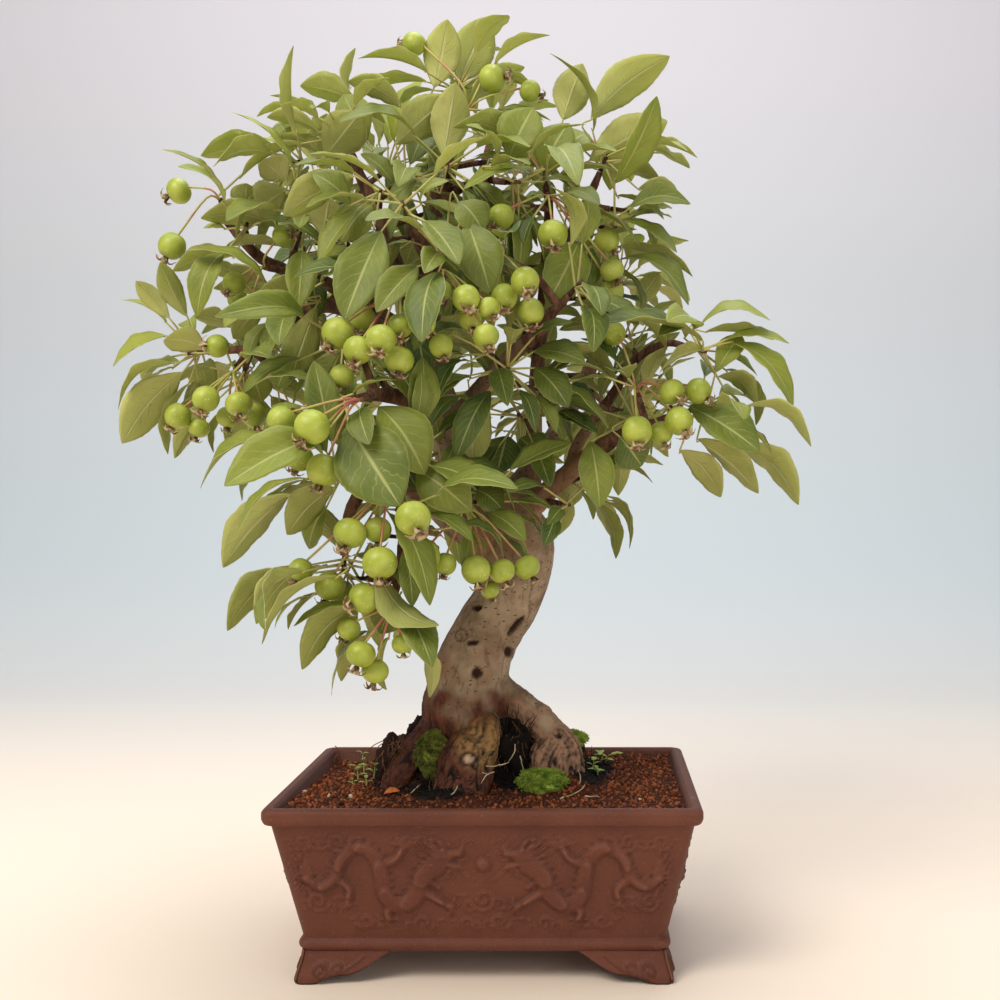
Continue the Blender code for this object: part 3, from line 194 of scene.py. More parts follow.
# Leafy sprays: name, the branch that bears the twig, where the twig ends (across, down, depth) and how many
# leaves grow by rule; then the leaves whose place is known: stalk end and tip in the front view, depth of the
# tip from the twig's end, width, and how the upper face is turned (0 to the front, 90 up, 180 to the back).
SPRAYS = {
    name: (branch, tuple(map(float, end)), int(extra), rows)
    for name, ((branch, *end, extra), rows) in table("""
top top 460 98 -9 5 | 459 82 487 18 2 27 150 | 433 87 445 24 -6 23 140 | 468 97 515 56 6 21 120
crown_pale mid_up 399 184 -26 3 | 396 145 452 96 -10 25 140 | 402 108 350 79 6 22 115
   | 394 186 362 152 -10 23 60
crown_stem top 447 172 -28 3 | 442 161 457 84 -6 23 130 | 431 189 387 194 -14 20 50
   | 436 185 415 140 -12 22 70 | 455 180 480 148 -8 20 60
crown_left mid_up 345 142 -22 3 | 355 102 301 84 0 23 120 | 324 158 361 112 -16 27 150
   | 319 133 268 115 4 19 110 | 374 138 358 84 8 22 30
shoulder_left mid_up 312 162 -18 4 | 277 150 200 167 -4 26 118 | 314 145 270 139 -12 25 120
   | 286 181 262 160 -12 24 130 | 286 190 256 212 -16 26 140
arch mid_up 380 193 -52 3 | 355 176 282 214 -18 25 125 | 352 208 322 182 -4 22 40 | 372 205 340 240 -6 26 30
inner_left left_up 302 226 -18 4 | 282 226 205 211 -6 21 112 | 322 236 330 198 -20 27 150
   | 290 247 234 252 -12 20 115
far_left left_up 246 232 -12 3 | 226 229 203 227 -4 12 60 | 248 256 189 281 -12 22 118
   | 250 215 262 188 4 20 60
pendant_grey front_mid 410 218 -68 3 | 382 231 343 321 -26 28 20 | 426 249 386 243 -12 17 75
   | 420 205 446 178 -8 20 60
centre front_mid 441 256 -66 3 | 468 224 491 293 -18 26 35 | 458 202 484 230 -8 22 40
centre_top top 506 182 -40 4 | 535 171 463 184 -22 21 60 | 510 159 533 107 -6 28 15
   | 492 178 528 178 -30 18 120
right_top right_up 546 186 -16 4 | 544 176 568 122 -8 26 20 | 560 160 588 131 8 24 30
   | 557 180 617 176 -16 21 60 | 563 120 582 64 6 23 140
crown_right up_right 600 172 -8 4 | 581 133 647 70 0 25 128 | 589 161 667 120 -10 27 145
   | 606 160 651 160 6 21 110 | 617 196 665 217 -10 22 80 | 638 189 680 194 2 20 110
right_upper up_right 600 226 -12 4 | 622 219 678 251 -8 24 70 | 622 240 693 251 6 24 95
   | 570 228 631 258 -24 24 60 | 619 260 692 298 -14 28 70 | 580 238 556 303 -34 26 10
front_tip front_right 569 295 -55 5 | 590 300 640 322 -10 22 60
right_far right_mid 690 348 -26 3 | 704 336 586 325 -48 26 60 | 700 326 770 314 -8 26 70
   | 705 332 774 338 8 23 95 | 731 342 798 403 -8 22 60 | 717 377 759 400 4 26 105
   | 705 350 658 370 -20 25 112
right_low_tip right_low 690 411 -34 3 | 740 411 807 440 2 24 112 | 688 406 760 450 -28 28 40
   | 732 448 802 499 4 26 118 | 697 439 760 492 -8 25 120 | 680 450 723 495 4 23 120
right_low_mid right_low 636 424 -24 3 | 624 444 648 491 -14 24 30 | 596 446 617 502 6 21 50
right_inner right_low 575 480 -6 3 | 571 486 591 524 -8 20 100
pendant_pale front_right 505 368 -46 3 | 487 391 470 462 -18 23 130 | 534 368 569 405 -16 20 40
   | 533 352 585 360 -18 22 50
inner_right right_up 524 420 -10 4 | 508 436 497 472 -18 24 15 | 520 438 543 460 -16 24 15
left_outer left_mid 208 352 -30 3 | 167 336 111 364 -4 25 62 | 205 350 165 339 -14 25 125
   | 183 372 120 441 -8 27 128 | 180 362 142 376 8 22 60
left_tip left_mid 246 366 -22 3 | 234 328 195 315 -6 22 115 | 252 372 262 402 6 18 40
left_middle left_mid 292 312 -34 4 | 265 306 232 338 -10 23 120 | 310 300 258 290 -12 25 120
   | 316 306 289 382 -16 21 140 | 300 350 276 388 4 22 40
centre_left left_mid 354 338 -44 4 | 344 346 317 400 -14 21 140
front_big front_left 359 397 -84 3 | 349 424 402 506 -34 39 12 | 328 452 247 492 -14 26 60
   | 285 442 195 481 2 24 66 | 275 455 237 499 12 22 50 | 383 404 430 464 -12 30 30
   | 362 388 400 357 -14 17 60
low_right left_low 404 462 -80 3 | 412 467 462 507 -20 27 35 | 430 485 458 512 4 24 20
   | 436 458 478 490 4 26 40
low_left left_low 347 480 -84 3 | 292 494 221 565 -4 25 122 | 335 487 285 533 -12 26 126
   | 322 502 304 546 8 22 50
low_tip left_low 345 552 -80 3 | 300 575 225 624 6 24 120 | 310 565 253 620 -6 23 124
   | 335 569 260 634 -14 25 122
hang_middle low_hang 399 510 -84 3 | 396 514 432 615 -26 20 118
hang_tip low_hang 395 596 -78 3 | 397 600 381 636 -6 21 20 | 362 606 299 666 -10 25 122
trunk_front left_low 464 504 -56 3 | 487 508 524 529 -12 17 50 | 476 490 503 508 -6 19 40
behind_left back_left 326 205 92 7
behind_left_low back_left 352 300 84 6
behind_left_top back_left 380 175 64 6
behind_top back_mid 488 146 74 7
behind_middle back_mid 455 245 92 6
behind_right back_right 616 292 96 7
behind_right_low back_right 600 400 84 6
behind_low back_low 424 396 102 7
""").items()
}
SHOOT_LENGTH = 11
SHOOT_RADII = (1.7, 1.1)
SHOOT_SIDES = 4
LEAF_LENGTH = (31, 46)
LEAF_WIDTH_TO_LENGTH = (0.38, 0.5)
STALK_LENGTH = (14, 24)
STALK_RADIUS = 0.75
BLADE_THICKNESS = 1.1
BLADE_STATIONS = (0.28, 0.66)
# How each kind of leaf bends, as shares of its length: rise of its arch, fold of its halves, roll of its tip
LEAF_BENDS = [
    (0.09, 0.12, 0.05), (0.14, 0.09, 0.09), (0.05, 0.16, 0.03), (0.18, 0.13, 0.10), (0.12, 0.05, 0.07),
    (0.07, 0.20, 0.05),
]
# What no leaf grown by rule hides in the front view: the trunk and the collar of its roots, each as the
# middle and the half sizes of an oval, and every apple, as far round its centre as this
OPEN_OVALS = [((482, 640), (52, 66)), ((500, 735), (90, 60))]
OPEN_ROUND_APPLES = 14
CROWN_TOP = 508
REDRAWS = 12

# Bunches of apples: name, the branch, the twig's end; then each apple's centre (across, down, depth) and radius
BUNCHES = {
    name: (branch, tuple(map(float, end)), rows) for name, ((branch, *end), rows) in table("""
far_left left_up 222 204 -12 | 179 191 -14 7.2 | 172 246 -18 7.6
top top 466 112 -20 | 492 79 -24 8 | 530 91 -20 6.2 | 414 44 -14 6.6
centre_left front_mid 408 284 -66 | 338 333 -92 7.9 | 358 350 -104 7.2 | 381 339 -112 7.2 | 400 326 -98 6.4
   | 422 322 -106 6.8 | 362 318 -76 6.8 | 399 360 -104 7.2 | 441 346 -92 6 | 342 376 -84 6
centre front_mid 441 268 -72 | 440 290 -96 5.6 | 466 298 -108 6.6 | 489 308 -104 5.4 | 486 336 -108 6.2
   | 470 318 -88 5.8
centre_right front_right 512 262 -60 | 525 281 -92 7.2 | 504 297 -82 6.8 | 530 312 -74 7.2
right_top right_up 548 196 -34 | 501 217 -60 6.8 | 553 234 -66 7.6 | 607 240 -30 6.8 | 612 270 -34 6.6
   | 612 291 -24 6.6
left_inner left_up 268 268 -14 | 234 283 -26 6.2 | 238 300 -8 6 | 284 236 -26 6.4
left_branch left_mid 238 366 -42 | 178 416 -44 7 | 206 399 -56 7 | 199 428 -40 5.8 | 239 404 -60 7
   | 228 417 -40 6 | 254 415 -44 6.6 | 217 346 -50 6.2
front_left front_left 362 399 -98 | 282 420 -104 7.2 | 312 427 -118 8.4 | 324 470 -104 8.6 | 300 458 -88 6.6
low left_low 377 492 -92 | 350 533 -108 8 | 378 530 -100 6.6 | 413 518 -124 8.4 | 380 563 -104 8.4
   | 330 586 -104 7.4 | 301 570 -96 6.2 | 340 592 -90 7
low_tip low_hang 394 598 -88 | 364 598 -98 7.6 | 349 629 -86 5.8 | 361 654 -96 7.4 | 375 671 -88 6.8
   | 402 644 -90 5.2
trunk left_low 458 508 -68 | 425 556 -92 7.6 | 445 564 -82 5.8 | 476 570 -84 7.4 | 502 571 -78 6.8
   | 527 567 -72 6.8 | 490 590 -70 4.6
right right_low 638 396 -42 | 637 431 -70 7.8 | 661 433 -54 6.4 | 679 421 -68 7.4 | 672 392 -62 6.8
   | 698 391 -54 6.8 | 614 334 -30 6.6
behind back_left 372 262 96 | 352 318 112 7 | 384 322 118 7.2 | 410 306 112 6.6 | 336 300 104 6.4
""").items()
}
APPLE_SIDES = 5
APPLE_PROFILE = [(0, 0.84), (0.8, 0.62), (1.0, -0.22), (0.36, -0.95), (0.34, -1.26), (0, -1.04)]
PEDICEL_RADIUS = 0.75
PEDICEL_SIDES = 3
PEDICEL_STEPS = 2
KNOB_RADII = (2, 1.5)
KNOB_LENGTH = 3.5
MOSS = {
    "front": ((542, 785, -34), (14, 8, 8)),
    "left": ((433, 757, -34), (8.5, 6, 13)),
    "right": ((570, 741, -2), (9, 7, 5)),
}

# %% Places and tubes
UP = Vector((0, 0, 1))


def anywhere(luck, *spans):
    """A vector with each of its coordinates drawn from its own span."""
    return Vector([luck.uniform(*span) for span in spans])


def seen(across, down, depth):
    """The point of the front view that lies this many millimetres behind the pot's centre."""
    reach = (depth * MM - EYE.y) / SHEET_FOCAL
    x, z = EYE.x + (across - SHEET_CENTRE) * reach, EYE.z - (down - SHEET_HORIZON) * reach
    return Vector((x, depth * MM, z))


def on_sheet(point):
    """Where a point of the room lies in the front view."""
    reach = (point.y - EYE.y) / SHEET_FOCAL
    return SHEET_CENTRE + (point.x - EYE.x) / reach, SHEET_HORIZON - (point.z - EYE.z) / reach


def smooth_run(points, steps):
    """Points along a smooth curve through the given ones, each carrying its radius as a fourth number."""
    rows = [tuple(p) for p in points]
    before, after = (tuple(2 * a - b for a, b in zip(*pair)) for pair in (rows[:2], rows[:-3:-1]))
    rows = [before, *rows, after]
    run = []
    for k in range(1, len(rows) - 2):
        p0, p1, p2, p3 = rows[k - 1 : k + 3]
        for step in range(steps):
            t = step / steps
            run.append(tuple(
                b + 0.5 * t * (c - a + t * (2 * a - 5 * b + 4 * c - d + t * (3 * b - a - 3 * c + d)))
                for a, b, c, d in zip(p0, p1, p2, p3)
            ))
    run.append(rows[-2])
    return run


def rings_along(points):
    """A point, a radius and two cross directions for each station of a run, turning as little as it can."""
    centres = [Vector(p[:3]) for p in points]
    across = None
    stations = []
    for k, centre in enumerate(centres):
        ahead = (centres[min(k + 1, len(centres) - 1)] - centres[max(k - 1, 0)]).normalized()
        if across is None:
            across = ahead.orthogonal()
        across = (across - across.dot(ahead) * ahead).normalized()
        stations.append((centre, points[k][3], across, ahead.cross(across)))
    return stations


def ring_faces(count, rings, first=0):
    """The four-cornered faces between closed rings of so many points."""
    steps = [(j, (j + 1) % count, (j + 1) % count + count, j + count) for j in range(count)]
    return [tuple(first + k * count + i for i in step) for k in range(rings - 1) for step in steps]


def tube(points, sides, swell=None):
    """A closed tube along points (x, y, z, radius). swell shapes each ring."""
    verts = []
    for centre, radius, side, up in rings_along(points):
        for j in range(sides):
            turn = 2 * pi * j / sides
            out = side * cos(turn) + up * sin(turn)
            verts.append(centre + out * (radius * (swell(centre, out) if swell else 1)))
    count = len(verts)
    return verts, [*ring_faces(sides, len(points)), tuple(range(sides)), tuple(range(count - sides, count))]


def run_of(rows, steps):
    return smooth_run([(*seen(*row[:3]), row[3] * MM) for row in rows], steps)


def bark_swell(centre, out):
    """Burrs and hollows of the old wood."""
    return 1 + 0.09 * noise.noise((centre + out * 0.012) * 55)


def wood_shells():
    """The trunk and its roots, and every branch, as closed tubes."""
    shells = [tube(run_of(TRUNK, 1), TRUNK_SIDES, bark_swell)]
    shells += [tube(run_of(rows, 1), ROOT_SIDES, bark_swell) for rows in ROOTS.values()]
    return shells + [tube(run_of(rows, 1), BRANCH_SIDES) for rows in BRANCHES.values()]


def twig_from(branch, end):
    """A twig's run, from inside the branch that bears it to its end, bowed a little upwards."""
    stations = run_of(BRANCHES[branch], 4)
    start = min(stations[2:-1], key=lambda p: (Vector(p[:3]) - end).length + max(0.0, p[2] - end.z))
    root = Vector(start[:3])
    root += (end - root).normalized() * 0.4 * MM
    middle = (root + end) / 2 + Vector((0, 0, 0.12 * (end - root).length))
    bow = [(*middle, 2 * MM)] if (end - root).length > 24 * MM else []
    return [(*root, TWIG_RADIUS_AT_BRANCH * MM), *bow, (*end, TWIG_RADIUS_AT_END * MM)]


def twig_heading(run):
    return (Vector(run[-1][:3]) - Vector(run[-2][:3])).normalized()


def soil_height(x, y):
    """The soil's surface: heaped round the trunk, lower at the back left."""
    away = hypot((x - MOUND_CENTRE[0]) / MOUND_HALF[0], (y - MOUND_CENTRE[1]) / MOUND_HALF[1])
    mound = SOIL_MOUND * (0.5 + 0.5 * cos(pi * min(away, 1)))
    hollow = SOIL_LOW_LEFT / (1 + exp((x + 45) / 12)) / (1 + exp(-(y + 15) / 12))
    return (SOIL_EDGE + mound - hollow) * MM

# %% Leaves and apples as plain shells
class Taken:
    """The space that pieces hold already, so that a new one can be bent clear of them."""

    def __init__(self):
        self.held = []

    @staticmethod
    def tree(shell):
        verts, faces = shell
        low = Vector(min(v[i] for v in verts) for i in range(3))
        high = Vector(max(v[i] for v in verts) for i in range(3))
        return low, high, BVHTree.FromPolygons([tuple(v) for v in verts], faces)

    def add(self, shell, owner):
        self.held.append((*self.tree(shell), owner))

    def free(self, shell, skip=()):
        low, high, tree = self.tree(shell)
        for other_low, other_high, other, owner in self.held:
            if owner in skip or any(low[i] > other_high[i] or high[i] < other_low[i] for i in range(3)):
                continue
            if tree.overlap(other):
                return False
        return True


def half_width(s):
    """Half of the width at a share s of the length, for a blade 1 wide: round foot, drawn-out tip."""
    return 0.5 * sin(pi * s) ** (0.62 + 0.55 * s) if 0 < s < 1 else 0.0


def blade_point(s, u, bend):
    """Where the blade's surface lies, in shares of its length (x, z) and of its width (y)."""
    arch, fold, roll = bend
    rise = arch * sin(pi * s ** 0.9) - roll * s ** 3
    return s, u * half_width(s), rise + fold * abs(u) * half_width(s)


def leaf_frame(base, tip, facing):
    """The blade's axes: along it, across it, and out of its upper face."""
    along = tip - base
    out = (facing - facing.dot(along.normalized()) * along.normalized()).normalized()
    return along, out.cross(along).normalized(), out


def stalk_points(root, base, along):
    """The leaf stalk's points. One that would double back gets a knee behind the blade's base."""
    stalk = base - root
    if stalk.normalized().dot(along) > 0.35:
        return [root, base]
    return [root, base - along * min(6 * MM, 0.5 * stalk.length), base]


def leaf_shell(leaf, grow=0.0):
    """Stalk and blade of one leaf as one closed shell of four-cornered sections."""
    root, base, tip, facing, width, kind = leaf
    along, across, out = leaf_frame(base, tip, facing)
    bend = LEAF_BENDS[kind]
    length = along.length
    ahead = along.normalized()

    def place(s, u, lift):
        x, y, z = blade_point(s, u, bend)
        return base + along * x + across * y * width + out * (z * length + lift)

    thin, thick = STALK_RADIUS * MM + grow, BLADE_THICKNESS * MM / 2 + grow
    stalk = stalk_points(root, base, ahead)
    steps = [(b - a).normalized() for a, b in zip(stalk, stalk[1:])] + [ahead]
    sections = []
    direction, side, up = ahead, across, out
    for k in range(len(stalk) - 1, -1, -1):
        middle = (steps[k] + steps[max(k - 1, 0)]).normalized() if k else steps[0]
        turn = direction.rotation_difference(middle)
        direction, side, up = middle, turn @ side, turn @ up
        sections.insert(0, [stalk[k] + way for way in (side * thin, up * thin, -side * thin, -up * thin)])
    for s in BLADE_STATIONS:
        left, right = place(s, 1, 0) + across * grow, place(s, -1, 0) - across * grow
        sections.append([left, place(s, 0, thick), right, place(s, 0, -thick)])
    verts = [corner for section in sections for corner in section]
    verts.append(place(1, 0, 0))
    rings = len(sections)
    faces = [(0, 1, 2, 3)]
    for k in range(rings - 1):
        for j in range(4):
            a, b = 4 * k + j, 4 * k + (j + 1) % 4
            faces += [(a, b, b + 4), (a, b + 4, a + 4)] if j % 2 else [(a, b, a + 4), (b, b + 4, a + 4)]
    last = 4 * (rings - 1)
    faces += [(last + j, last + (j + 1) % 4, 4 * rings) for j in range(4)]
    return verts, faces


def folds_through_itself(shell):
    """Whether two faces that share no corner cross, as they do where a stalk doubles back under its blade."""
    verts, faces = shell
    tree = BVHTree.FromPolygons([tuple(v) for v in verts], faces)
    return any(not set(faces[a]) & set(faces[b]) for a, b in tree.overlap(tree) if a < b)


def facing_of(turn):
    """Which way an upper face looks: 0 to the front, 90 up, 180 to the back."""
    return Vector((0, -cos(radians(turn)), sin(radians(turn))))


def known_leaf(row, end, heading, draw):
    """A leaf whose place the front view gives."""
    base_across, base_down, tip_across, tip_down, depth, width, turn = row
    at = end.y / MM
    root = end + heading * SHOOT_LENGTH * MM * draw.uniform(0.3, 0.9)
    base = seen(base_across, base_down, at + 0.4 * depth)
    tip = seen(tip_across, tip_down, at + depth)
    return root, base, tip, facing_of(turn), width * MM, draw.randrange(len(LEAF_BENDS))


def rule_leaf(number, end, heading, draw):
    """A leaf of the rosette at a twig's end: each is turned from the last by the golden angle."""
    turn = number * radians(137.5) + draw.uniform(-0.4, 0.4)
    spread = radians(draw.uniform(35, 85))
    side = Matrix.Rotation(turn, 3, heading) @ heading.orthogonal().normalized()
    ray = (heading * cos(spread) + side * sin(spread)).normalized()
    root = end + heading * SHOOT_LENGTH * MM * draw.uniform(0.25, 0.9)
    stalk = draw.uniform(*STALK_LENGTH) * MM
    length = draw.uniform(*LEAF_LENGTH) * MM
    base = root + ray * stalk
    droop = Vector((0, 0, -draw.uniform(0.05, 0.5)))
    tip = base + (ray + droop).normalized() * length
    facing = (UP + heading * 0.5 + side * draw.uniform(-0.5, 0.3)).normalized()
    width = length * draw.uniform(*LEAF_WIDTH_TO_LENGTH)
    return root, base, tip, facing, width, draw.randrange(len(LEAF_BENDS))


def hides(leaf, apples):
    """Whether a leaf stands before the trunk or an apple in the front view."""
    _, base, tip, _, _, _ = leaf
    for share in (0.1, 0.4, 0.7, 1):
        point = base.lerp(tip, share)
        across, down = on_sheet(point)
        for middle, half in OPEN_OVALS:
            if point.y < 0 and hypot((across - middle[0]) / half[0], (down - middle[1]) / half[1]) < 1:
                return True
        for centre in apples:
            if point.y < centre.y and dist(on_sheet(centre), (across, down)) < OPEN_ROUND_APPLES:
                return True
    return False


def open_leaf(number, end, heading, apples, draw):
    """A leaf of the rosette that leaves the trunk and the apples in view, or the last one tried."""
    for _ in range(REDRAWS):
        leaf = rule_leaf(number, end, heading, draw)
        if leaf[2].z < CROWN_TOP * MM and not hides(leaf, apples):
            break
    return leaf


def nudged(leaf, attempt, draw):
    """The same leaf swung, lifted and turned a little, more at each attempt."""
    root, base, tip, facing, width, kind = leaf
    if attempt == 0:
        return leaf
    reach = min(attempt, 12) * 1.1 * MM
    shift = anywhere(draw, (-0.5, 0.5), (-1.6, 0.8), (-0.6, 0.6)) * reach
    swing = anywhere(draw, (-0.7, 0.7), (-2, 1), (-0.8, 0.8)) * reach
    turned = (facing + Vector(draw.uniform(-1, 1) for _ in range(3)) * 0.05 * min(attempt, 12)).normalized()
    return root, base + shift, tip + shift + swing, turned, width, draw.randrange(len(LEAF_BENDS))


def blade_of(shell):
    """The blade alone, as an open shell: the last sections of the leaf."""
    verts, faces = shell
    first = len(verts) - 1 - 4 * len(BLADE_STATIONS)
    return verts[first:], [tuple(i - first for i in face) for face in faces if min(face) >= first]


def place_leaf(leaf, owner, taken, draw, attempts):
    """The first clear way to hold a leaf, or None where the foliage is too dense for it."""
    for attempt in range(attempts):
        trial = nudged(leaf, attempt, draw)
        if (trial[2] - trial[1]).length < 8 * MM or folds_through_itself(leaf_shell(trial)):
            continue
        shell = leaf_shell(trial, 0.35 * MM)
        if taken.free(shell, skip=(owner, owner + " blade")) and taken.free(blade_of(shell), skip=(owner,)):
            return trial
    return None


def apple_shell(centre, axis, radius):
    """A small apple turned about its core, with the dry crown of its calyx away from the stalk."""
    side = axis.orthogonal().normalized()
    up = axis.cross(side)
    verts = []
    for out, along in APPLE_PROFILE:
        if out == 0:
            verts.append(centre + axis * along * radius)
            continue
        for j in range(APPLE_SIDES):
            turn = 2 * pi * j / APPLE_SIDES
            ray = side * cos(turn) + up * sin(turn)
            verts.append(centre + (axis * along + ray * out) * radius)
    rings = len(APPLE_PROFILE) - 2
    faces = [(0, 1 + (j + 1) % APPLE_SIDES, 1 + j) for j in range(APPLE_SIDES)]
    faces += ring_faces(APPLE_SIDES, rings, 1)
    last = 1 + (rings - 1) * APPLE_SIDES
    faces += [(last + j, last + (j + 1) % APPLE_SIDES, len(verts) - 1) for j in range(APPLE_SIDES)]
    return verts, faces


def pedicel_run(start, heading, centre, axis, radius):
    """A fruit stalk: out of the twig, over in a curve, and down into the apple's hollow."""
    finish = centre + axis * radius * 0.7
    lift = start + heading * 0.35 * (finish - start).length + Vector((0, 0, 0.12 * (finish - start).length))
    run = []
    for k in range(PEDICEL_STEPS + 1):
        t = k / PEDICEL_STEPS
        point = start * (1 - t) ** 2 + lift * 2 * t * (1 - t) + finish * t * t
        run.append((*point, PEDICEL_RADIUS * MM))
    return run


def apple_axis(start, centre):
    """From the calyx to the stalk: mostly up, leaning back to the twig that bears it."""
    return ((start - centre).normalized() + Vector((0, 0, 0.7))).normalized()


def shoot_shell(twig, length, radii):
    """The short straight shoot that goes on from a twig's end."""
    end, heading = Vector(twig[-1][:3]), twig_heading(twig)
    near, far = end + heading * GAP, end + heading * length * MM
    return tube([(*near, radii[0] * MM), (*far, radii[1] * MM)], SHOOT_SIDES)


def hang_apples(name, twig, apples, taken, draw):
    """Where a bunch's apples hang, each as its stalk's run, centre, core direction and radius."""
    heading = twig_heading(twig)
    start = Vector(twig[-1][:3]) + heading * (KNOB_LENGTH - 1) * MM
    hung = []
    for across, down, depth, radius in apples:
        for attempt in range(30):
            deeper = depth + (0 if attempt == 0 else draw.uniform(-1.2, 1.2) * attempt)
            centre = seen(across, down, deeper)
            axis = apple_axis(start, centre)
            run = pedicel_run(start, heading, centre, axis, radius * MM)
            body = apple_shell(centre, axis, radius * MM + 0.4 * MM)
            stalk = tube([(*p[:3], p[3] + GAP) for p in run], PEDICEL_SIDES)
            if taken.free(body) and taken.free(stalk, skip=(name + " bunch",)):
                break
        else:
            continue
        taken.add(body, name + " fruit")
        taken.add(stalk, name + " bunch")
        hung.append((run, centre, axis, radius * MM))
    return hung


def set_leaves(name, wanted, taken, draw, attempts):
    """The wanted leaves that find room, each bent clear of what stands already."""
    placed = []
    for leaf in wanted:
        leaf = place_leaf(leaf, name, taken, draw, attempts)
        if leaf is None:
            continue
        placed.append(leaf)
        taken.add(leaf_shell(leaf), name)
        taken.add(blade_of(leaf_shell(leaf)), name + " blade")
    return placed


def grow():
    """The whole crown: the twigs, then every apple and leaf, each where it finds room."""
    draw = random.Random(SEED)
    taken = Taken()
    leafy = {name: twig_from(branch, seen(*end)) for name, (branch, end, *_) in SPRAYS.items()}
    fruiting = {name: twig_from(branch, seen(*end)) for name, (branch, end, _) in BUNCHES.items()}
    for shell in wood_shells() + [tube(run, TWIG_SIDES) for run in (*leafy.values(), *fruiting.values())]:
        taken.add(shell, "wood")
    for name, twig in leafy.items():
        taken.add(shoot_shell(twig, SHOOT_LENGTH, SHOOT_RADII), name)
    for name, twig in fruiting.items():
        taken.add(shoot_shell(twig, KNOB_LENGTH, KNOB_RADII), name + " bunch")
    fruit = {}
    for name, (_, _, rows) in BUNCHES.items():
        fruit[name] = hang_apples(name, fruiting[name], rows, taken, draw)
    apples = [centre for hung in fruit.values() for _, centre, _, _ in hung]
    leaves = {}
    for name, (_, _, extra, rows) in SPRAYS.items():
        end, heading = Vector(leafy[name][-1][:3]), twig_heading(leafy[name])
        wanted = [known_leaf(row, end, heading, draw) for row in rows]
        wanted += [open_leaf(k, end, heading, apples, draw) for k in range(extra)]
        leaves[name] = set_leaves(name, wanted, taken, draw, 40)
    return leafy, fruiting, fruit, leaves, apples, taken, draw

# %% Grow the crown
leafy, fruiting, fruit, leaves, apples, taken, draw = grow()
counts = [sum(map(len, grown.values())) for grown in (leaves, fruit)]
print(counts[0], "leaves and", counts[1], "apples stand as in the frame")

# %% [markdown]
# A real crown has about twice as many leaves as the plain frame shows. The rest grow here by the same rule,
# on the same shoots, bent clear of what stands already, and only where they stay inside the object's box.

# %% Fill the crown
MORE_LEAVES = 12
MORE_LEAVES_BEHIND = 16
SPUR_LEAVES = 6
INNER_TWIGS = 78
INNER_LEAVES = 8
YOUNG_SHARE = (0.6, 0.95)
low, high = (Vector(corner) - POT_CENTRE for corner in cad_box)


def inside_box(leaf):
    verts, _ = leaf_shell(leaf, 1.5 * MM)
    return all(low[i] < v[i] < high[i] for v in verts for i in range(3))


def younger(leaf):
    """The same leaf, not yet grown to its full size."""
    root, base, tip, facing, width, kind = leaf
    share = draw.uniform(*YOUNG_SHARE)
    return root, base, base.lerp(tip, share), facing, width * share, kind


def sheet_line(leaf):
    """A leaf's line in the front view, how far its blade reaches from it, and the depth of its middle."""
    _, base, tip, _, width, _ = leaf
    return Vector(on_sheet(base)), Vector(on_sheet(tip)), 0.4 * width / (0.56 * MM), (base.y + tip.y) / 2


known = [sheet_line(leaf) for name, (*_, rows) in SPRAYS.items() for leaf in leaves[name][: len(rows)]]


def covers(leaf):
    """Whether a leaf stands before one of the leaves whose place the front view gives."""
    for share in (0.1, 0.4, 0.7, 1):
        point = leaf[1].lerp(leaf[2], share)
        spot = Vector(on_sheet(point))
        for start, end, reach, depth in known:
            t = min(max((spot - start).dot(end - start) / (end - start).length_squared, 0), 1)
            if point.y < depth and (spot - start.lerp(end, t)).length < reach:
                return True
    return False


def in_crown(leaf):
    """Whether a leaf keeps within the crown's oval in the front view."""
    across, down = on_sheet(leaf[2])
    return hypot((across - 440) / 245, (down - 320) / 250) < 1


def more_leaves(name, twig, first, count, kept=in_crown):
    """More leaves at a twig's end, each in sight only where nothing better stands behind it."""
    end, heading = Vector(twig[-1][:3]), twig_heading(twig)

    def suits(leaf):
        return inside_box(leaf) and kept(leaf) and not hides(leaf, apples) and not covers(leaf)

    wanted = []
    for number in range(first, first + count):
        trials = (younger(rule_leaf(number, end, heading, draw)) for _ in range(REDRAWS))
        wanted += [leaf for leaf in trials if suits(leaf)][:1]
    return [leaf for leaf in set_leaves(name, wanted, taken, draw, 8) if suits(leaf)]


for name, (_, _, extra, _) in SPRAYS.items():
    count = MORE_LEAVES_BEHIND if name.startswith("behind") else MORE_LEAVES
    leaves[name] += more_leaves(name, leafy[name], extra, count, lambda leaf: leaf[2].z < CROWN_TOP * MM)
inner, bunch_leaves, inner_leaves = {}, [], []
for name, twig in fruiting.items():
    bunch_leaves += more_leaves(name + " bunch", twig, 0, SPUR_LEAVES)
for k in range(INNER_TWIGS):
    branch = list(BRANCHES)[k % len(BRANCHES)]
    station = draw.choice(run_of(BRANCHES[branch], 4)[6:-3])
    way = Vector(draw.uniform(-1, 1) for _ in range(3)).normalized()
    twig = twig_from(branch, Vector(station[:3]) + way * draw.uniform(12, 22) * MM)
    shoot = shoot_shell(twig, SHOOT_LENGTH, SHOOT_RADII)
    if taken.free(tube(twig, TWIG_SIDES), "wood") and taken.free(shoot):
        name = f"inner {k}"
        taken.add(tube(twig, TWIG_SIDES), "wood")
        taken.add(shoot, name)
        inner[name] = twig
        inner_leaves += more_leaves(name, twig, 0, INNER_LEAVES)
print("with the rest,", sum(map(len, leaves.values())) + len(bunch_leaves + inner_leaves), "leaves")

# %% [markdown]
# ## Materials
# Each surface is named for what it is. Colours are given as they look on a screen and turned into light values
# by one function; every length in a material is a real one, read from the object's own coordinates.

# %% Node helpers
NOISE = 3, 0.55
TIMES = {"operation": "MULTIPLY"}
COLOURS = {"data_type": "RGBA"}


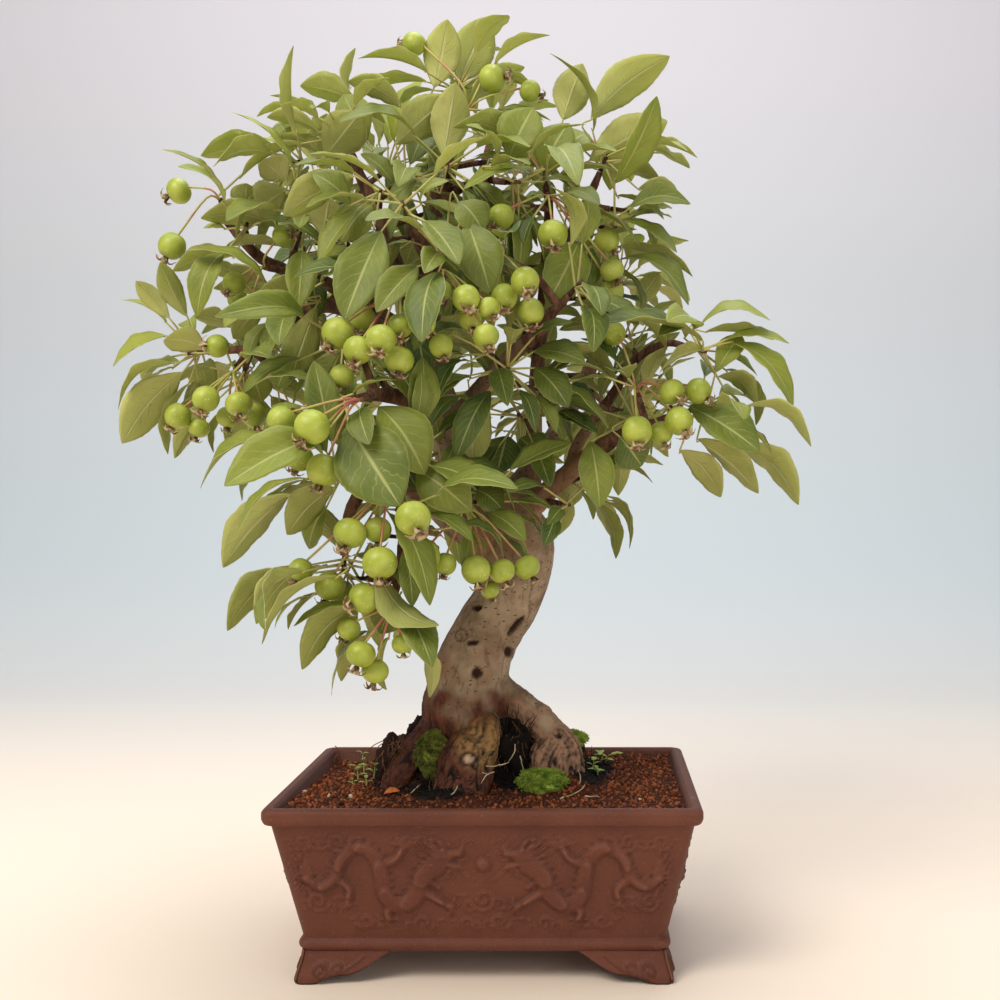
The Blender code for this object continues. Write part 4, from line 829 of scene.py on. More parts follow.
def linear(code):
    """The light values of a screen colour such as 6d8a3c."""
    parts = [int(code[i : i + 2], 16) / 255 for i in (0, 2, 4)]
    return (*(c / 12.92 if c <= 0.04045 else ((c + 0.055) / 1.055) ** 2.4 for c in parts), 1)


def add(tree, kind, *inputs, **settings):
    """A node's first output. Each open socket in turn takes a value, a screen colour or the output that feeds
    it; None leaves it as it is. A shader tree takes ShaderNode kinds, a geometry tree GeometryNode kinds."""
    node = tree.nodes.new(tree.bl_idname[: -len("Tree")] + kind)
    for key, value in settings.items():
        setattr(node, key, value)
    for socket, value in zip([socket for socket in node.inputs if socket.enabled], inputs):
        if isinstance(value, bpy.types.NodeSocket):
            tree.links.new(value, socket)
        elif value is not None:
            socket.default_value = linear(value) if socket.type == "RGBA" else value
    return next(output for output in node.outputs if output.enabled)


def surface(name, **inputs):
    """A new material, its tree, its main shader with values set by name, and the object's own coordinates."""
    made = bpy.data.materials.new(name)
    made.use_nodes = True
    tree = made.node_tree
    shader = tree.nodes["Principled BSDF"]
    for key, value in inputs.items():
        shader.inputs[key.replace("_", " ")].default_value = value
    return made, tree, shader, add(tree, "TexCoord").node.outputs["Object"]


def paint(tree, shader, colour, height=None, reach=0.0):
    """Feeds the shader a colour, and a height field that bumps the surface by reach metres."""
    tree.links.new(colour, shader.inputs["Base Color"])
    if height:
        tree.links.new(add(tree, "Bump", 1.0, reach, None, height), shader.inputs["Normal"])


# %% Leaf surfaces
# A leaf is glossy and dark above, pale and matt with raised veins beneath. U runs from stalk to tip and V
# across the blade, so the midrib lies on V = 0.5 and the side veins sweep forward from it.
VEINS = 8
VEIN_SWEEP = 5.4


def vein_height(tree, place):
    """1 on a vein and 0 between veins."""
    u, v, _ = add(tree, "SeparateXYZ", add(tree, "UVMap", uv_map="UVMap")).node.outputs
    away = add(tree, "Math", add(tree, "Math", v, 0.5, operation="SUBTRACT"), operation="ABSOLUTE")
    drift = add(tree, "Math", add(tree, "TexNoise", place, 1 / 0.007, *NOISE), 1.5, **TIMES)
    sweep = add(tree, "Math", add(tree, "Math", u, VEINS, drift, operation="MULTIPLY_ADD"),
                add(tree, "Math", away, VEIN_SWEEP, **TIMES), operation="SUBTRACT")
    phase = add(tree, "Math", add(tree, "Math", sweep, operation="FRACT"), 0.5, operation="SUBTRACT")
    side = add(tree, "MapRange", add(tree, "Math", phase, operation="ABSOLUTE"), 0, 0.09, 1, 0)
    side = add(tree, "Math", side, add(tree, "MapRange", away, 0.1, 0.6, 1, 0), **TIMES)
    margin = add(tree, "MapRange", away, 0.46, 0.5, 0, 0.6)
    midrib = add(tree, "MapRange", away, 0.01, 0.04, 1, 0)
    side = add(tree, "Math", side, 0.5, **TIMES)
    return add(tree, "Math", add(tree, "Math", midrib, margin, operation="MAXIMUM"), side, operation="MAXIMUM")


def leaf_surface(name, dark, fresh, vein, roughness, vein_reach):
    made, tree, shader, place = surface(
        name, Roughness=roughness, IOR=1.4, Subsurface_Weight=0.15, Subsurface_Scale=0.002)
    shader.inputs["Subsurface Radius"].default_value = (0.7, 1.0, 0.3)
    # The tone runs from dark to fresh: painted shade darkens the leaves inside the crown, with a random spread
    # and noise.
    tone = add(tree, "Attribute", attribute_name="tone").node.outputs["Fac"]
    cloud = add(tree, "MapRange", add(tree, "TexNoise", place, 1 / 0.012, *NOISE), 0, 1, -0.25, 0.25)
    blade = add(tree, "Mix", add(tree, "Math", tone, cloud, use_clamp=True), dark, fresh, **COLOURS)
    veins = vein_height(tree, place)
    colour = add(tree, "Mix", add(tree, "Math", veins, 0.62, **TIMES), blade, vein, **COLOURS)
    quilt = add(tree, "Math", add(tree, "TexNoise", place, 1 / 0.0016, *NOISE), 0.25, **TIMES)
    paint(tree, shader, colour, add(tree, "Math", veins, vein_reach, quilt, operation="MULTIPLY_ADD"), 0.0006)
    return made


leaf_upper = leaf_surface("leaf upper side", "374c1c", "979e3c", "b9bd78", 0.52, -0.3)
leaf_under = leaf_surface("leaf underside", "7a8038", "bdbd72", "d4d29e", 0.68, 0.7)


def stalk_surface(name, fresh, warm, start):
    """Green that turns warm where the noise rises past a start."""
    made, tree, shader, place = surface(
        name, Roughness=0.5, IOR=1.42, Subsurface_Weight=0.15, Subsurface_Scale=0.001)
    share = add(tree, "MapRange", add(tree, "TexNoise", place, 1 / 0.02, *NOISE), start, start + 0.2)
    paint(tree, shader, add(tree, "Mix", share, fresh, warm, **COLOURS))
    return made


stalk_green = stalk_surface("leaf stalk", "bab56c", "b98a68", 0.55)
pedicel_warm = stalk_surface("fruit stalk", "b5b45c", "b87060", 0.42)

# %% Fruit, soil and moss surfaces
def apple_surface():
    """Smooth waxy skin, green with a paler side and fine pale dots."""
    made, tree, shader, place = surface(
        "apple skin", Roughness=0.4, IOR=1.45, Subsurface_Weight=0.15, Subsurface_Scale=0.003)
    shader.inputs["Subsurface Radius"].default_value = (0.6, 1.0, 0.15)
    cloud = add(tree, "MapRange", add(tree, "TexNoise", place, 1 / 0.011, 2, 0.55), 0.35, 0.7)
    skin = add(tree, "Mix", cloud, "96a436", "b9c254", **COLOURS)
    dots = add(tree, "MapRange", add(tree, "TexVoronoi", place, 1 / 0.0024), 0.08, 0.16, 1, 0)
    colour = add(tree, "Mix", dots, skin, "d0d294", **COLOURS)
    paint(tree, shader, colour, add(tree, "TexNoise", place, 1 / 0.004, *NOISE), 0.0002)
    return made


def plain_surface(name, low, high, size, roughness=0.8, reach=0.0003, ior=1.42, ends=(0.35, 0.65)):
    """Two colours that run into each other in patches of a size in metres."""
    made, tree, shader, place = surface(name, Roughness=roughness, IOR=ior)
    grain = add(tree, "TexNoise", place, 1 / size, *NOISE)
    colour = add(tree, "Mix", add(tree, "MapRange", grain, *ends), low, high, **COLOURS)
    paint(tree, shader, colour, grain if reach else None, reach)
    return made


def soil_surface(name, dark, light):
    """Baked red clay grains, matt and dusty, and black where the peat attribute says so."""
    made, tree, shader, place = surface(name, Roughness=0.95, IOR=1.4)
    tone, peat = (add(tree, "Attribute", attribute_name=name).node.outputs["Fac"] for name in ("tone", "peat"))
    grain = add(tree, "Math", add(tree, "TexNoise", place, 1 / 0.004, 6, 0.55), 0.5, operation="SUBTRACT")
    share = add(tree, "MapRange", add(tree, "Math", tone, grain), -0.1, 0.9)
    colour = add(tree, "Mix", share, dark, light, **COLOURS)
    colour = add(tree, "Mix", peat, colour, "17100c", **COLOURS)
    paint(tree, shader, colour, add(tree, "TexNoise", place, 1 / 0.0022, 6, 0.7), 0.0015)
    return made


apple_skin = apple_surface()
calyx_dry = plain_surface("dry calyx", "6a4530", "c8b48a", 0.003, reach=0, ior=1.45, ends=(0.4, 0.6))
soil_grains = soil_surface("red soil grains", "47200f", "b06238")
soil_bed = soil_surface("damp soil", "3c1a0d", "7a3c1e")
moss_bright = plain_surface("bright moss", "5a7a1c", "abbc4c", 0.004)
moss_dark = plain_surface("old moss", "3f4a16", "8a8f38", 0.004)

# %% Bark surface
def bark_surface():
    """Grey-beige bark with dark lenticels; at the foot red-brown and tan ridges and painted shade in the
    hollows.
    """
    made, tree, shader, place = surface("crabapple bark", Roughness=0.8, IOR=1.45)
    painted = {name: add(tree, "Attribute", attribute_name=name).node.outputs["Fac"]
               for name in ("ochre", "tan", "ridge_shade", "rust", "ruddy", "scar", "wound", "young")}
    drawn = add(tree, "Mapping", place, None, None, (1, 1, 0.3))
    grain = add(tree, "TexNoise", drawn, 1 / 0.004, 6, 0.65)
    fine = add(tree, "MapRange", grain, 0.4, 0.6)
    patches = add(tree, "MapRange", add(tree, "TexNoise", place, 1 / 0.016, *NOISE), 0.35, 0.65)
    stains = add(tree, "MapRange", add(tree, "TexNoise", place, 1 / 0.045, 2, 0.55), 0.5, 0.64)
    fissures = add(tree, "MapRange", add(tree, "TexNoise", drawn, 1 / 0.0035, 6, 0.65), 0.36, 0.46, 0.55, 0)
    dots = add(tree, "TexVoronoi", add(tree, "Mapping", place, None, None, (1, 1, 2.6)), 1 / 0.005)
    chosen = add(tree, "MapRange", add(tree, "SeparateXYZ", dots.node.outputs["Color"]), 0.25, 0.35)
    lenticels = add(tree, "Math", add(tree, "MapRange", dots, 0.14, 0.24, 1, 0), chosen, **TIMES)
    height = add(tree, "Math", grain, 0.9, add(tree, "Math", painted["ridge_shade"], 0.45, operation="SUBTRACT"),
                 operation="MULTIPLY_ADD")

    def layered(colour, *coats):
        for share, coat in coats:
            colour = add(tree, "Mix", share, colour, coat, **COLOURS)
        return colour

    rust, twig = layered("4a1c0e", (fine, "8a4a28")), layered("4a2c1e", (fine, "7d5a44"))
    crest = layered("683823", (painted["ochre"], "a8804c"), (painted["tan"], "b58c6e"), (painted["rust"], rust))
    # The root foot: near black painted shade where the height is low, in hollows and cracks; its own crest
    # colours where it is high.
    foot = layered("1d0d07", (add(tree, "MapRange", height, 0.05, 0.8), crest))
    colour = layered(
        "7d6750", (patches, "b09a7e"), (stains, "8d6a4e"), (fissures, "5b4436"), (lenticels, "6b3c26"),
        (painted["ruddy"], foot), (painted["scar"], "2e1910"), (painted["wound"], "d2b69c"),
        (painted["young"], twig))
    tree.links.new(add(tree, "MapRange", painted["ruddy"], 0, 4, 1, 0), shader.inputs["Roughness"])
    grain = add(tree, "Math", add(tree, "TexNoise", place, 1 / 0.003, 6, 0.55), grain)
    paint(tree, shader, colour, grain, 0.0011)
    return made


bark = bark_surface()

# %% Clay surface
def clay_surface():
    """Unglazed brown clay: fine grit, a painted highlight on convex edges and painted shade in the hollows."""
    made, tree, shader, place = surface("unglazed brown clay", Roughness=0.6, IOR=1.5, Specular_IOR_Level=0.3)
    fine = add(tree, "TexNoise", place, 1 / 0.0012, *NOISE)
    edge = add(tree, "NewGeometry").node.outputs["Pointiness"]
    colour = "5a3022"
    # From pointiness: paler on convex edges and relief tops as a painted highlight, darker in the hollows as
    # painted shade.
    for pattern, ends, coat in (
        (add(tree, "TexNoise", place, 1 / 0.03, *NOISE), (0.3, 0.7), "673928"), (fine, (0.62, 0.75), "7a4938"),
        (edge, (0.51, 0.6), "7d4e3c"), (edge, (0.42, 0.49, 1, 0), "3f2017"),
    ):
        colour = add(tree, "Mix", add(tree, "MapRange", pattern, *ends), colour, coat, **COLOURS)
    grit = add(tree, "Math", fine, add(tree, "TexNoise", place, 1 / 0.008, *NOISE))
    paint(tree, shader, colour, grit, 0.00035)
    return made


clay = clay_surface()

# %% Pieces
def finish_piece(name, mesh, slot, *nodes, smooth=True):
    """Puts a finished mesh in the scene, on the pot's place, in place of the frame's plain nodes."""
    mesh.transform(Matrix.Translation(POT_CENTRE))
    if smooth:
        mesh.shade_smooth()
    made = held(mesh, name)
    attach(made, "root")
    if nodes:
        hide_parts(*nodes)


def mesh_from(verts, faces, *materials, uvs=None, marks=None):
    """A mesh from lists, with materials, a map of the blade and a marked set of faces where they are given."""
    mesh = bpy.data.meshes.new("made")
    mesh.from_pydata([tuple(v) for v in verts], [], faces)
    for material in materials:
        mesh.materials.append(material)
    if uvs:
        layer = mesh.uv_layers.new(name="UVMap")
        corner_verts = np.empty(len(mesh.loops), dtype=np.int32)
        mesh.loops.foreach_get("vertex_index", corner_verts)
        layer.data.foreach_set("uv", np.array(uvs, dtype=np.float32)[corner_verts].ravel())
    if marks:
        field = mesh.attributes.new(marks[0], "BOOLEAN", "FACE")
        field.data.foreach_set("value", marks[1])
    return mesh


def merged(*shells):
    """Several shells of verts and faces as one."""
    verts, faces = [], []
    for more_verts, more_faces in shells:
        first = len(verts)
        verts += list(more_verts)
        faces += [tuple(i + first for i in face) for face in more_faces]
    return verts, faces


def applied(holder):
    """The mesh that an object's modifiers make, as a plain mesh. The object itself goes."""
    bpy.context.view_layer.update()
    graph = bpy.context.evaluated_depsgraph_get()
    mesh = bpy.data.meshes.new_from_object(holder.evaluated_get(graph))
    bpy.data.objects.remove(holder)
    return mesh


def facing_out(mesh, weld=0):
    """Turns a closed mesh's faces outwards, after points closer than weld are made one."""
    check = bmesh.new()
    check.from_mesh(mesh)
    if weld:
        bmesh.ops.remove_doubles(check, verts=check.verts, dist=weld)
    bmesh.ops.recalc_face_normals(check, faces=check.faces)
    check.to_mesh(mesh)
    check.free()
    return mesh


def held(data, name="holder"):
    """A mesh, lamp or camera on an object in the scene. Modifiers can work on it there."""
    holder = bpy.data.objects.new(name, data)
    bpy.context.scene.collection.objects.link(holder)
    return holder


# %% [markdown]
# ## Wood
# Trunk, roots and the thick ends of the branches melt into one skin with a voxel remesh, as living wood does.
# The thin ends carry on as plain tubes out of that skin. Then every point is moved a little along its
# normal: long fibres on the roots, a rough collar at the foot, sunken scars with a raised rim where limbs
# were cut.

# %% Shape the wood
CORE_VOXEL = 1.25 * MM
CORE_SHARE = 0.55
# Scars on the trunk in the front view: across, down, half length, half width, lean in degrees
SCARS = [
    (478, 608, 5.5, 3.8, 10), (516, 625, 14, 3, 48), (473, 643, 6.5, 3.2, 8), (508, 652, 4.5, 6, 0),
    (521, 646, 2.8, 7, -30), (477, 673, 6, 6.5, 0), (431, 667, 2.5, 6, 0),
]
RING_SCAR = (462, 636, 6)
WOUND = (469, 759)


def split_run(run, share):
    cut = max(2, round(len(run) * share))
    return run[: cut + 1], run[cut - 1 :]


def wood_meshes():
    """The shells that melt together, and those that stay tubes."""
    core = [tube(run_of(TRUNK, 5), 32, bark_swell)]
    core += [tube(run_of(rows, 5), 20, bark_swell) for rows in ROOTS.values()]
    thin = []
    for rows in BRANCHES.values():
        thick_part, thin_part = split_run(run_of(rows, 5), CORE_SHARE)
        core.append(tube(thick_part, 16))
        thin.append(tube(thin_part, 12, node_swell))
    for run in (*leafy.values(), *fruiting.values(), *inner.values()):
        thin.append(tube(smooth_run(run, 4), 8, node_swell))
    return merged(*core), merged(*thin)


def node_swell(centre, out):
    """Rings and buds on young wood."""
    return 1 + 0.12 * noise.noise((centre + out * 0.002) * 260)


def view_place(points):
    """Across and down in the front view, for an array of points."""
    x, y, z = points.T
    reach = (y - EYE.y) / SHEET_FOCAL
    return SHEET_CENTRE + (x - EYE.x) / reach, SHEET_HORIZON - (z - EYE.z) / reach


def smoothstep(low, high, value):
    t = np.clip((value - low) / (high - low), 0, 1)
    return t * t * (3 - 2 * t)


def noise_of(points, scale, stretch=(1, 1, 1)):
    return np.array([noise.noise(Vector((x, y, z))) for x, y, z in points * scale * np.array(stretch)])


def give(mesh, name, values):
    field = mesh.attributes.new(name, "FLOAT", "POINT")
    field.data.foreach_set("value", np.asarray(values, dtype=np.float32))


def read_points(mesh):
    points, normals = np.empty(len(mesh.vertices) * 3), np.empty(len(mesh.vertices) * 3)
    mesh.vertices.foreach_get("co", points)
    mesh.vertices.foreach_get("normal", normals)
    return points.reshape(-1, 3), normals.reshape(-1, 3)


def oval_share(across, down, middle, half, soft):
    """1 inside an oval of the front view, falling to 0 outside it."""
    away = np.hypot((across - middle[0]) / half[0], (down - middle[1]) / half[1])
    return smoothstep(1 + soft, 1 - soft, away)


def along_roots(points):
    """Each point's place round and along the root it belongs to, with the way along it drawn out."""
    stations, lengths = [], []
    for rows in (TRUNK, *ROOTS.values()):
        rings = rings_along(run_of(rows, 5))
        length = 0.0
        for k, (centre, radius, side, up) in enumerate(rings):
            length += (centre - rings[k - 1][0]).length if k else 3 * len(stations) * MM
            stations.append((*centre, *side, *up, radius))
            lengths.append(length)
    table = np.array(stations)
    away = np.linalg.norm(points[:, None, :] - table[None, :, :3], axis=2) - table[None, :, 9]
    owner = np.argmin(away, axis=1)
    place = points - table[owner, :3]
    side, up = table[owner, 3:6], table[owner, 6:9]
    aside, above, ahead = (np.einsum("ij,ij->i", place, way) for way in (side, up, np.cross(side, up)))
    return np.stack((aside, above, (np.array(lengths)[owner] + ahead) * 0.14), axis=1)


def shape_bark(mesh):
    """Moves the core's points along their normals; paints red, tan, scarred and young bark, and painted shade.
    """
    points, normals = read_points(mesh)
    across, down = view_place(points)
    facing = (normals[:, 1] < 0.25) & (points[:, 1] < 0.01)
    foot = smoothstep(0.152, 0.130, points[:, 2])
    right = smoothstep(500, 522, across) * foot
    drawn = along_roots(points)
    fibre = noise_of(drawn, 330)
    crack = smoothstep(0.13, 0.02, np.abs(noise_of(drawn, 240, (1, 1, 1.4))))
    hair = smoothstep(0.16, 0.02, np.abs(noise_of(drawn, 620)))
    rough = noise_of(points, 430)
    knobs = noise_of(points, 85)
    crack *= 0.25 + 0.75 * smoothstep(0.128, 0.112, points[:, 2])
    hair *= 0.4 + 0.6 * smoothstep(0.128, 0.112, points[:, 2])
    lift = 0.25 * fibre + 0.16 * rough
    lift += foot * (0.6 * fibre - 1.3 * crack - 0.45 * hair + 1.5 * knobs + 0.35 * rough)
    # This mask is low in cracks and hairlines and high on raised fibres; the bark paints the foot near black
    # where it is low, as painted shade.
    ridge_shade = np.clip(0.75 + 0.35 * fibre - 0.7 * crack - 0.35 * hair + 0.4 * rough, 0, 1)
    scar = np.zeros(len(points))
    for place_across, place_down, half_long, half_wide, lean in SCARS:
        turn = radians(lean)
        along = (across - place_across) * cos(turn) - (down - place_down) * sin(turn)
        aside = (across - place_across) * sin(turn) + (down - place_down) * cos(turn)
        away = np.hypot(along / half_long, aside / half_wide) + 0.25 * rough
        near = facing & (away < 1.8)
        lift += np.where(near, 0.9 * smoothstep(1.8, 1.15, away) - 1.9 * smoothstep(1.1, 0.6, away), 0)
        scar = np.maximum(scar, np.where(near, smoothstep(1.1, 0.75, away), 0))
    ring_across, ring_down, ring_radius = RING_SCAR
    from_ring = np.abs(np.hypot(across - ring_across, down - ring_down) - ring_radius)
    lift += np.where(facing, 0.5 * smoothstep(2, 0.5, from_ring), 0)
    scar = np.maximum(scar, np.where(facing, 0.6 * smoothstep(1.6, 0.6, from_ring), 0))
    from_wound = np.abs(np.hypot((across - WOUND[0]) / 7.5, (down - WOUND[1]) / 6.5) - 1)
    scar = np.maximum(scar, np.where(facing, 0.75 * smoothstep(0.35, 0.1, from_wound + 0.3 * rough), 0))
    mesh.vertices.foreach_set("co", (points + normals * (lift * MM)[:, None]).ravel())
    give(mesh, "ruddy", smoothstep(-18, 16, down - 696 - 0.15 * (across - 430) + 45 * knobs + 10 * fibre))
    give(mesh, "ridge_shade", ridge_shade)
    rust, ochre, wound = (
        np.where(facing, oval_share(across, down, *oval), 0)
        for oval in (((452, 714), (34, 19), 0.6), ((482, 742), (26, 26), 0.4), (WOUND, (5, 4.2), 0.3))
    )
    give(mesh, "rust", rust * np.clip(0.7 + 1.5 * knobs, 0, 1))
    give(mesh, "ochre", ochre)
    give(mesh, "tan", right * 0.8)
    give(mesh, "wound", wound * (0.6 + 0.5 * rough))
    give(mesh, "scar", scar)
    give(mesh, "young", smoothstep(0.27, 0.35, points[:, 2] + knobs * 0.015) * 0.8)
    mesh.update()


core_shells, thin_shells = wood_meshes()
holder = held(mesh_from(*core_shells))
skin = holder.modifiers.new("one skin", "REMESH")
skin.mode = "VOXEL"
skin.voxel_size = CORE_VOXEL
relax = holder.modifiers.new("relax", "SMOOTH")
relax.factor = 0.5
relax.iterations = 4
core = applied(holder)
shape_bark(core)
thin = mesh_from(*thin_shells)
give(thin, "young", np.ones(len(thin.vertices)))


def join_meshes(*meshes):
    """Several meshes, with their attributes and materials, as one."""
    holders = [held(mesh) for mesh in meshes]
    with bpy.context.temp_override(active_object=holders[0], selected_editable_objects=holders):
        bpy.ops.object.join()
    return applied(holders[0])


wood = join_meshes(core, thin)
wood.materials.clear()
wood.materials.append(bark)
finish_piece("trunk_and_branches", wood, "bark", "tree")
print("wood:", len(wood.polygons), "faces")

# %% [markdown]
# ## Leaves
# A crabapple leaf is oval with a drawn-out tip and a finely sawn edge. It folds up a little along its midrib
# and arches over. Twelve blades are built, each with its own arch, fold and wave. Geometry Nodes then puts
# one on every stalk's end, turned and sized as the frame's plain leaf is.

# %% Leaf shapes
BLADE_ROWS = 24
BLADE_COLUMNS = (-1, -0.66, -0.33, 0, 0.33, 0.66, 1)
BLADE_HALF_THICKNESS = 0.0035
SLIMMER = 0.95
TEETH = 13
TOOTH = 0.05


def blade_height(s, u, bend, wave):
    """The blade's rise above the line from its base to its tip, in lengths of the blade."""
    _, _, rise = blade_point(s, u, bend)
    ripple = 0.014 * sin(2 * pi * (s * 3.2 + wave)) * u * u * sin(pi * s)
    twist = 0.05 * sin(wave * 5) * u * half_width(s) * s
    groove = -0.008 * exp(-((u / 0.12) ** 2)) * sin(pi * min(s * 1.1, 1))
    return rise + ripple + twist + groove


def outline(s):
    """Half of the width at a share s of the length: a full oval that narrows towards its stalk."""
    return 0.48 * max(sin(pi * s ** 1.12), 0) ** 0.8


def fine_blade(bend, wave):
    verts, uvs, faces, under = [], [], [], []
    columns = len(BLADE_COLUMNS)
    rows = [(k + 0.35) / (BLADE_ROWS - 0.3) for k in range(BLADE_ROWS)]
    for side in (1, -1):
        for s in rows:
            tooth = TOOTH * ((s * TEETH + 0.25) % 1) - 0.02
            for u in BLADE_COLUMNS:
                width = outline(s) * (1 + tooth * (abs(u) == 1))
                height = blade_height(s, u, bend, wave) + side * BLADE_HALF_THICKNESS * (1 - 0.5 * abs(u))
                verts.append((s, u * width, height))
                uvs.append((s, 0.5 + u / 2))
        for end in (0, 1):
            verts.append((end, 0, blade_height(end, 0, bend, wave)))
            uvs.append((end, 0.5))
    half = BLADE_ROWS * columns + 2
    for side in (0, 1):
        first = side * half
        start, tip = first + half - 2, first + half - 1
        for k in range(BLADE_ROWS - 1):
            for j in range(columns - 1):
                a = first + k * columns + j
                face = (a, a + columns, a + columns + 1, a + 1)
                faces.append(face if side else face[::-1])
                under.append(bool(side))
        last = first + (BLADE_ROWS - 1) * columns
        for j in range(columns - 1):
            for fan in ((start, first + j, first + j + 1), (tip, last + j + 1, last + j)):
                faces.append(fan if side else fan[::-1])
                under.append(bool(side))
    edge = [0] + [columns * k for k in range(1, BLADE_ROWS)]
    other = [columns * k + columns - 1 for k in range(BLADE_ROWS)]
    loop = [half - 2, *edge, half - 1, *reversed(other)]
    for a, b in zip(loop, loop[1:] + loop[:1]):
        faces.append((a, b, b + half, a + half))
        under.append(True)
    return mesh_from(verts, faces, uvs=uvs, marks=("under", under))


def shape_collection(name, meshes):
    """A hidden shelf of shapes for Geometry Nodes to pick from. They stay out of the scene itself."""
    shelf = bpy.data.collections.new(name)
    for k, mesh in enumerate(meshes):
        mesh.shade_smooth()
        shelf.objects.link(bpy.data.objects.new(f"{name}_{k:02d}", mesh))
    return shelf


blades = [facing_out(fine_blade(bend, wave)) for bend in LEAF_BENDS for wave in (0.13, 0.58)]
leaf_shelf = shape_collection("leaf", blades)
print(len(blades), "blades of", len(blades[0].polygons), "faces")

# %% Put shapes on points
# The group reads each point's own turn, size and shape number, places that shape there, and makes real
# geometry of it. A marked set of faces takes the second material.
def new_group(name, **sockets):
    """A geometry group with named inputs, their identifiers, its inputs' outputs and its end."""
    group = bpy.data.node_groups.new(name, "GeometryNodeTree")
    ids = {label: group.interface.new_socket(label, in_out="INPUT", socket_type="NodeSocket" + kind).identifier
           for label, kind in {"Geometry": "Geometry", **sockets}.items()}
    group.interface.new_socket("Geometry", in_out="OUTPUT", socket_type="NodeSocketGeometry")
    return group, ids, group.nodes.new("NodeGroupInput").outputs, group.nodes.new("NodeGroupOutput").inputs[0]


def shapes_on_points():
    group, ids, given, end = new_group(
        "Shapes on points", Shapes="Collection", Mark="String", Material="Material", Marked="Material")
    shelf = add(group, "CollectionInfo", given["Shapes"], True, True)
    fields = [add(group, "InputNamedAttribute", name, data_type=kind)
              for name, kind in (("shape", "INT"), ("turn", "FLOAT_VECTOR"), ("size", "FLOAT_VECTOR"))]
    placed = add(group, "InstanceOnPoints", given["Geometry"], None, shelf, True, *fields)
    real = add(group, "SetMaterial", add(group, "RealizeInstances", placed), None, given["Material"])
    marked = add(group, "InputNamedAttribute", given["Mark"], data_type="BOOLEAN")
    group.links.new(add(group, "SetMaterial", real, marked, given["Marked"]), end)
    return group, ids


def lines_to_stems():
    """Lines whose points carry a radius become round closed stems."""
    group, ids, given, end = new_group("Stems on lines", Sides="Int", Material="Material")
    thick = add(group, "InputNamedAttribute", "thick", data_type="FLOAT")
    curve = add(group, "SetCurveRadius", add(group, "MeshToCurve", given["Geometry"]), None, thick)
    stem = add(group, "CurveToMesh", curve, add(group, "CurvePrimitiveCircle", given["Sides"], 1), thick, True)
    real = add(group, "RealizeInstances", stem)
    group.links.new(add(group, "SetMaterial", real, None, given["Material"]), end)
    return group, ids


def run_group(mesh, group, ids, **values):
    """The plain mesh that a group makes from a mesh of points or lines."""
    holder = held(mesh)
    modifier = holder.modifiers.new(group.name, "NODES")
    modifier.node_group = group
    for label, value in values.items():
        modifier[ids[label]] = value
    return applied(holder)


def planted(shelf, places, turns, sizes, shapes, tones, material, marked=None, mark="none", **more):
    """Shapes of a shelf on points, each turned, sized and toned. Marked faces take the second material."""
    mesh = mesh_from(places, [])
    for name, kind, values in (
        ("turn", "FLOAT_VECTOR", turns), ("size", "FLOAT_VECTOR", sizes), ("shape", "INT", shapes),
        ("tone", "FLOAT", tones),
    ):
        field = mesh.attributes.new(name, kind, "POINT")
        if kind == "FLOAT_VECTOR":
            field.data.foreach_set("vector", np.array([tuple(v) for v in values]).ravel())
        else:
            field.data.foreach_set("value", np.array(values))
    for name, values in more.items():
        give(mesh, name, values)
    return run_group(mesh, *shape_group, Shapes=shelf, Mark=mark, Material=material, Marked=marked or material)


def stems(runs, sides, material):
    """Round stems along runs of points and radii."""
    mesh = bpy.data.meshes.new("lines")
    verts = [point for run in runs for point in run]
    ends = set(np.cumsum([len(run) for run in runs]) - 1)
    edges = [(k, k + 1) for k in range(len(verts)) if k not in ends]
    mesh.from_pydata([point[:3] for point in verts], edges, [])
    give(mesh, "thick", [point[3] for point in verts])
    return run_group(mesh, *stem_group, Sides=sides, Material=material)


shape_group, stem_group = shapes_on_points(), lines_to_stems()

# %% Leaf every spray
def turn_of(base, tip, facing):
    """How a blade is turned that lies from base to tip and faces this way."""
    along, across, out = leaf_frame(base, tip, facing)
    return Matrix((along.normalized(), across, out)).transposed().to_euler()


def stalk_run(leaf):
    """The stalk's smooth run, a little way into the blade as its midrib."""
    root, base, tip, _, _, _ = leaf
    ahead = (tip - base).normalized()
    points = [(*p, STALK_RADIUS * 0.66 * MM) for p in stalk_points(root, base, ahead)]
    points[0] = (*points[0][:3], STALK_RADIUS * MM)
    points.append((*(base + (tip - base) * 0.04), 0.45 * MM))
    return smooth_run(points, 3)


def shade_tone_of(leaf, name):
    """Painted shade: leaves deep in the crown and off the sprays are darker, outer ones paler, with a random
    spread.
    """
    _, base, tip, _, _, _ = leaf
    middle = (base + tip) / 2
    outward = (middle - Vector((-0.01, 0, 0.30))).length / 0.19
    start = 0.12 if name in leafy else -0.1
    return start + 0.62 * min(max(outward, 0), 1) ** 1.5 + tones.uniform(-0.24, 0.24)


